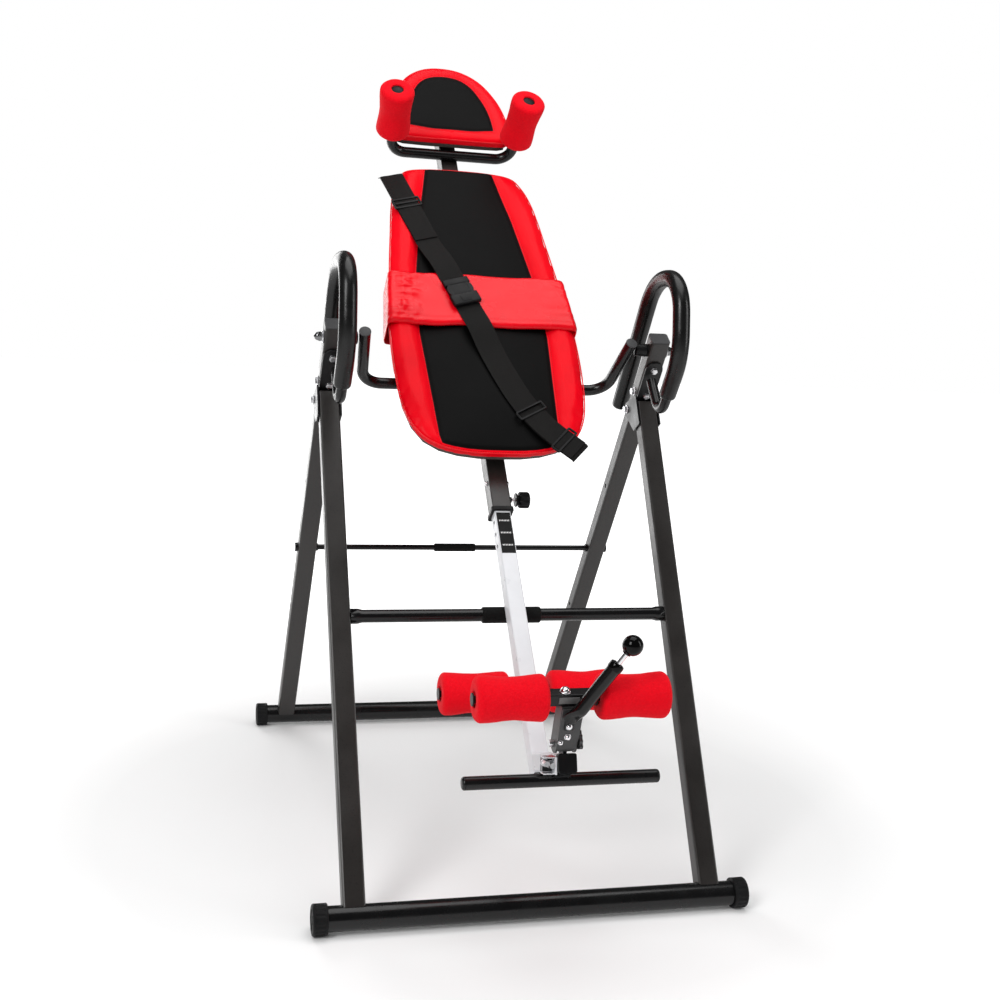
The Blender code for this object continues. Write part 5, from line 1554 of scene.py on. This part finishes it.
def post_bracket():
    """Bright U-shaped clip on the left of the foot post: dark inside, two hexagon bolts to the front."""
    cap_low, cap_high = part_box("foot_post_cap")
    front = end_centre("foot_post_cap", -POST_BACK, 0.002)
    place = axes(front + UP * CLIP_RISE, RIGHT, -POST_BACK)
    piece = Piece("post_bracket", "boom", place=place)
    near = -(cap_high.x - cap_low.x) / 2 - 0.0004
    far = near - CLIP_WIDE
    back, rim = -0.034, -0.0125
    piece.block((near - 0.0028, -CLIP_HALF, back), (near, CLIP_HALF, rim + 0.004), WHITE_PAINT, 0.0006)
    piece.block((far, -CLIP_HALF, back), (near, -CLIP_HALF + 0.0018, rim), ZINC, 0.0006)
    piece.block((far, CLIP_HALF - 0.0018, back), (near, CLIP_HALF, rim), ZINC, 0.0006)
    piece.block((far, -CLIP_HALF, back), (near, CLIP_HALF, back + 0.002), ZINC, 0.0006)
    inner = CLIP_HALF - 0.002
    piece.block((far + 0.001, -inner, back + 0.002), (near - 0.003, inner, back + 0.009),
                BRACKET_PAINT, 0.0006)
    for x, y in ((0.0050, 0.0035), (0.0135, 0.0005)):
        piece.bolt_head(Vector((far + x, y, back + 0.009)), UP, 0.0092, 0.0150, ZINC)
    piece.done(35)


SCALE_LENGTH = 0.085
LABEL_THICK = 0.00008
TICKS_A_SIDE = 3
TICK_PITCH = 0.0028
TICK_WIDE = 0.0013
TICK_TALL = 0.0030


def boom_label():
    """Height scale on the boom's front: black strip with three rows of plain, even white ticks."""
    low, high = local_box("boom", BED)
    collar_low, _ = local_box("main_tube_collar", BED)
    top = collar_low.y - 0.003
    half = (high.x - low.x) / 2 - 0.0022
    piece = Piece("boom_scale", "boom", place=BED)
    piece.block((-half, top - SCALE_LENGTH, high.z), (half, top, high.z + LABEL_THICK), LABEL_BLACK, 0)
    for row in range(3):
        y = top - SCALE_LENGTH * (0.20 + 0.30 * row)
        for k in range(-TICKS_A_SIDE, TICKS_A_SIDE + 1):
            x = k * TICK_PITCH
            piece.block((x - TICK_WIDE / 2, y - TICK_TALL / 2, high.z),
                        (x + TICK_WIDE / 2, y + TICK_TALL / 2, high.z + 2 * LABEL_THICK), LABEL_WHITE, 0)
    piece.done(30)


SCREW_UP = 0.0585


def tube_screws():
    """A small silver screw in each side of the main tube, above the collar."""
    low, high = local_box("main_tube", BED)
    middle = (low.z + high.z) / 2
    piece = Piece("main_tube_screws", "bed", place=BED)
    half = (high.x - low.x) / 2
    for side in (-1, 1):
        spot = Vector((side * half, low.y + SCREW_UP, middle + 0.004))
        dome_bolt(piece, spot, RIGHT * side, 0.0044, 0.0054, CHROME)
    piece.done(35)



# ---------------------------------------------------------------- the table
show_stand()
show_bed_frame()
for side_name, side in SIDES:
    base_cap("rear", side_name, side, "rear_frame")
    base_cap("front", side_name, side, "front_frame")
    handle(side_name)
    pivot_pin(side_name, side)
cradle_tube()
head_bar()
rollers()
sleeve("crossbar_sleeve", "front_frame")
sleeve("rear_rod_sleeve", "rear_frame")
foot_bar()
backrest()
headrest()
lumbar_pad()
safety_strap()
selector_knob()
lever()
arm_hardware()
post_bracket()
boom_label()
tube_screws()

# ---------------------------------------------------------------- studio
CAMERA_FROM_PIVOT = Vector((-0.594, -2.348, 0.0725))
YAW, PITCH, ROLL = (math.radians(a) for a in (14.55, -8.43, 2.93))
LENS = 47.65
WORLD_LIGHT = 0.34
WORLD_SHEEN = 0.10
FLOOR_FADE = (0.7, 2.6)
LIGHT_AIM = (0, 0, 0.75)
# name, place, size in metres and power in watts
LIGHTS = (("key", (-2.6, -2.6, 2.8), (1.4, 2.0), 84), ("fill", (2.9, -1.6, 1.6), (0.9, 2.4), 28),
          ("rim", (-1.1, 2.8, 1.2), (1.3, 2.4), 34), ("top", (0.2, -0.2, 3.4), (2.4, 2.4), 46))


def floor():
    """White sweep: the floor brightens into the background away from the table."""
    bpy.ops.mesh.primitive_plane_add(size=30, location=(0, 0, 0))
    plane = bpy.context.object
    plane.name = "floor"
    pale = finish("floor_white", (0.93, 0.93, 0.93), 0.8, specular=0.1)
    place = node(pale, "NewGeometry").outputs["Position"]
    away = node(pale, "VectorMath")
    away.operation = "LENGTH"
    pale.node_tree.links.new(place, away.inputs[0])
    pale.node_tree.nodes["Principled BSDF"].inputs["Emission Color"].default_value = (1, 1, 1, 1)
    seen = node(pale, "LightPath").outputs["Is Camera Ray"]
    glow = ramp(pale, away.outputs["Value"], *FLOOR_FADE)
    set_input(pale, "Emission Strength", math_node(pale, "MULTIPLY", glow, seen))
    plane.data.materials.append(pale)


def soft_box(name, location, target, size, power):
    light = bpy.data.objects.new(name, bpy.data.lights.new(name, "AREA"))
    light.data.shape = "RECTANGLE"
    light.data.size, light.data.size_y = size
    light.data.energy = power
    light.location = location
    light.visible_camera = False
    light.rotation_euler = (Vector(target) - Vector(location)).to_track_quat("-Z", "Y").to_euler()
    bpy.context.scene.collection.objects.link(light)


def studio():
    floor()
    world = bpy.data.worlds.new("studio")
    bpy.context.scene.world = world
    world.use_nodes = True
    background = world.node_tree.nodes["Background"]
    background.inputs["Color"].default_value = (1, 1, 1, 1)
    path = world.node_tree.nodes.new("ShaderNodeLightPath")
    level = WORLD_LIGHT
    for ray, change in (("Is Camera Ray", 1.0 - WORLD_LIGHT), ("Is Glossy Ray", WORLD_SHEEN - WORLD_LIGHT)):
        add = world.node_tree.nodes.new("ShaderNodeMath")
        add.operation = "MULTIPLY_ADD"
        world.node_tree.links.new(path.outputs[ray], add.inputs[0])
        add.inputs[1].default_value = change
        if isinstance(level, float):
            add.inputs[2].default_value = level
        else:
            world.node_tree.links.new(level, add.inputs[2])
        level = add.outputs[0]
    world.node_tree.links.new(level, background.inputs["Strength"])
    bpy.context.scene.view_settings.view_transform = "Standard"
    for name, place, size, power in LIGHTS:
        soft_box(name, place, LIGHT_AIM, size, power)
    camera = bpy.data.objects.new("camera", bpy.data.cameras.new("camera"))
    camera.data.lens = LENS
    camera.data.sensor_width = 36
    ahead = Vector((math.sin(YAW) * math.cos(PITCH), math.cos(YAW) * math.cos(PITCH), math.sin(PITCH)))
    right = Vector((math.cos(YAW), -math.sin(YAW), 0))
    up = right.cross(ahead)
    rolled_right = right * math.cos(ROLL) + up * math.sin(ROLL)
    rolled_up = up * math.cos(ROLL) - right * math.sin(ROLL)
    turn = Matrix((rolled_right, rolled_up, -ahead)).transposed().to_4x4()
    camera.matrix_world = Matrix.Translation(PIVOT + CAMERA_FROM_PIVOT) @ turn
    bpy.context.scene.collection.objects.link(camera)
    bpy.context.scene.camera = camera


studio()
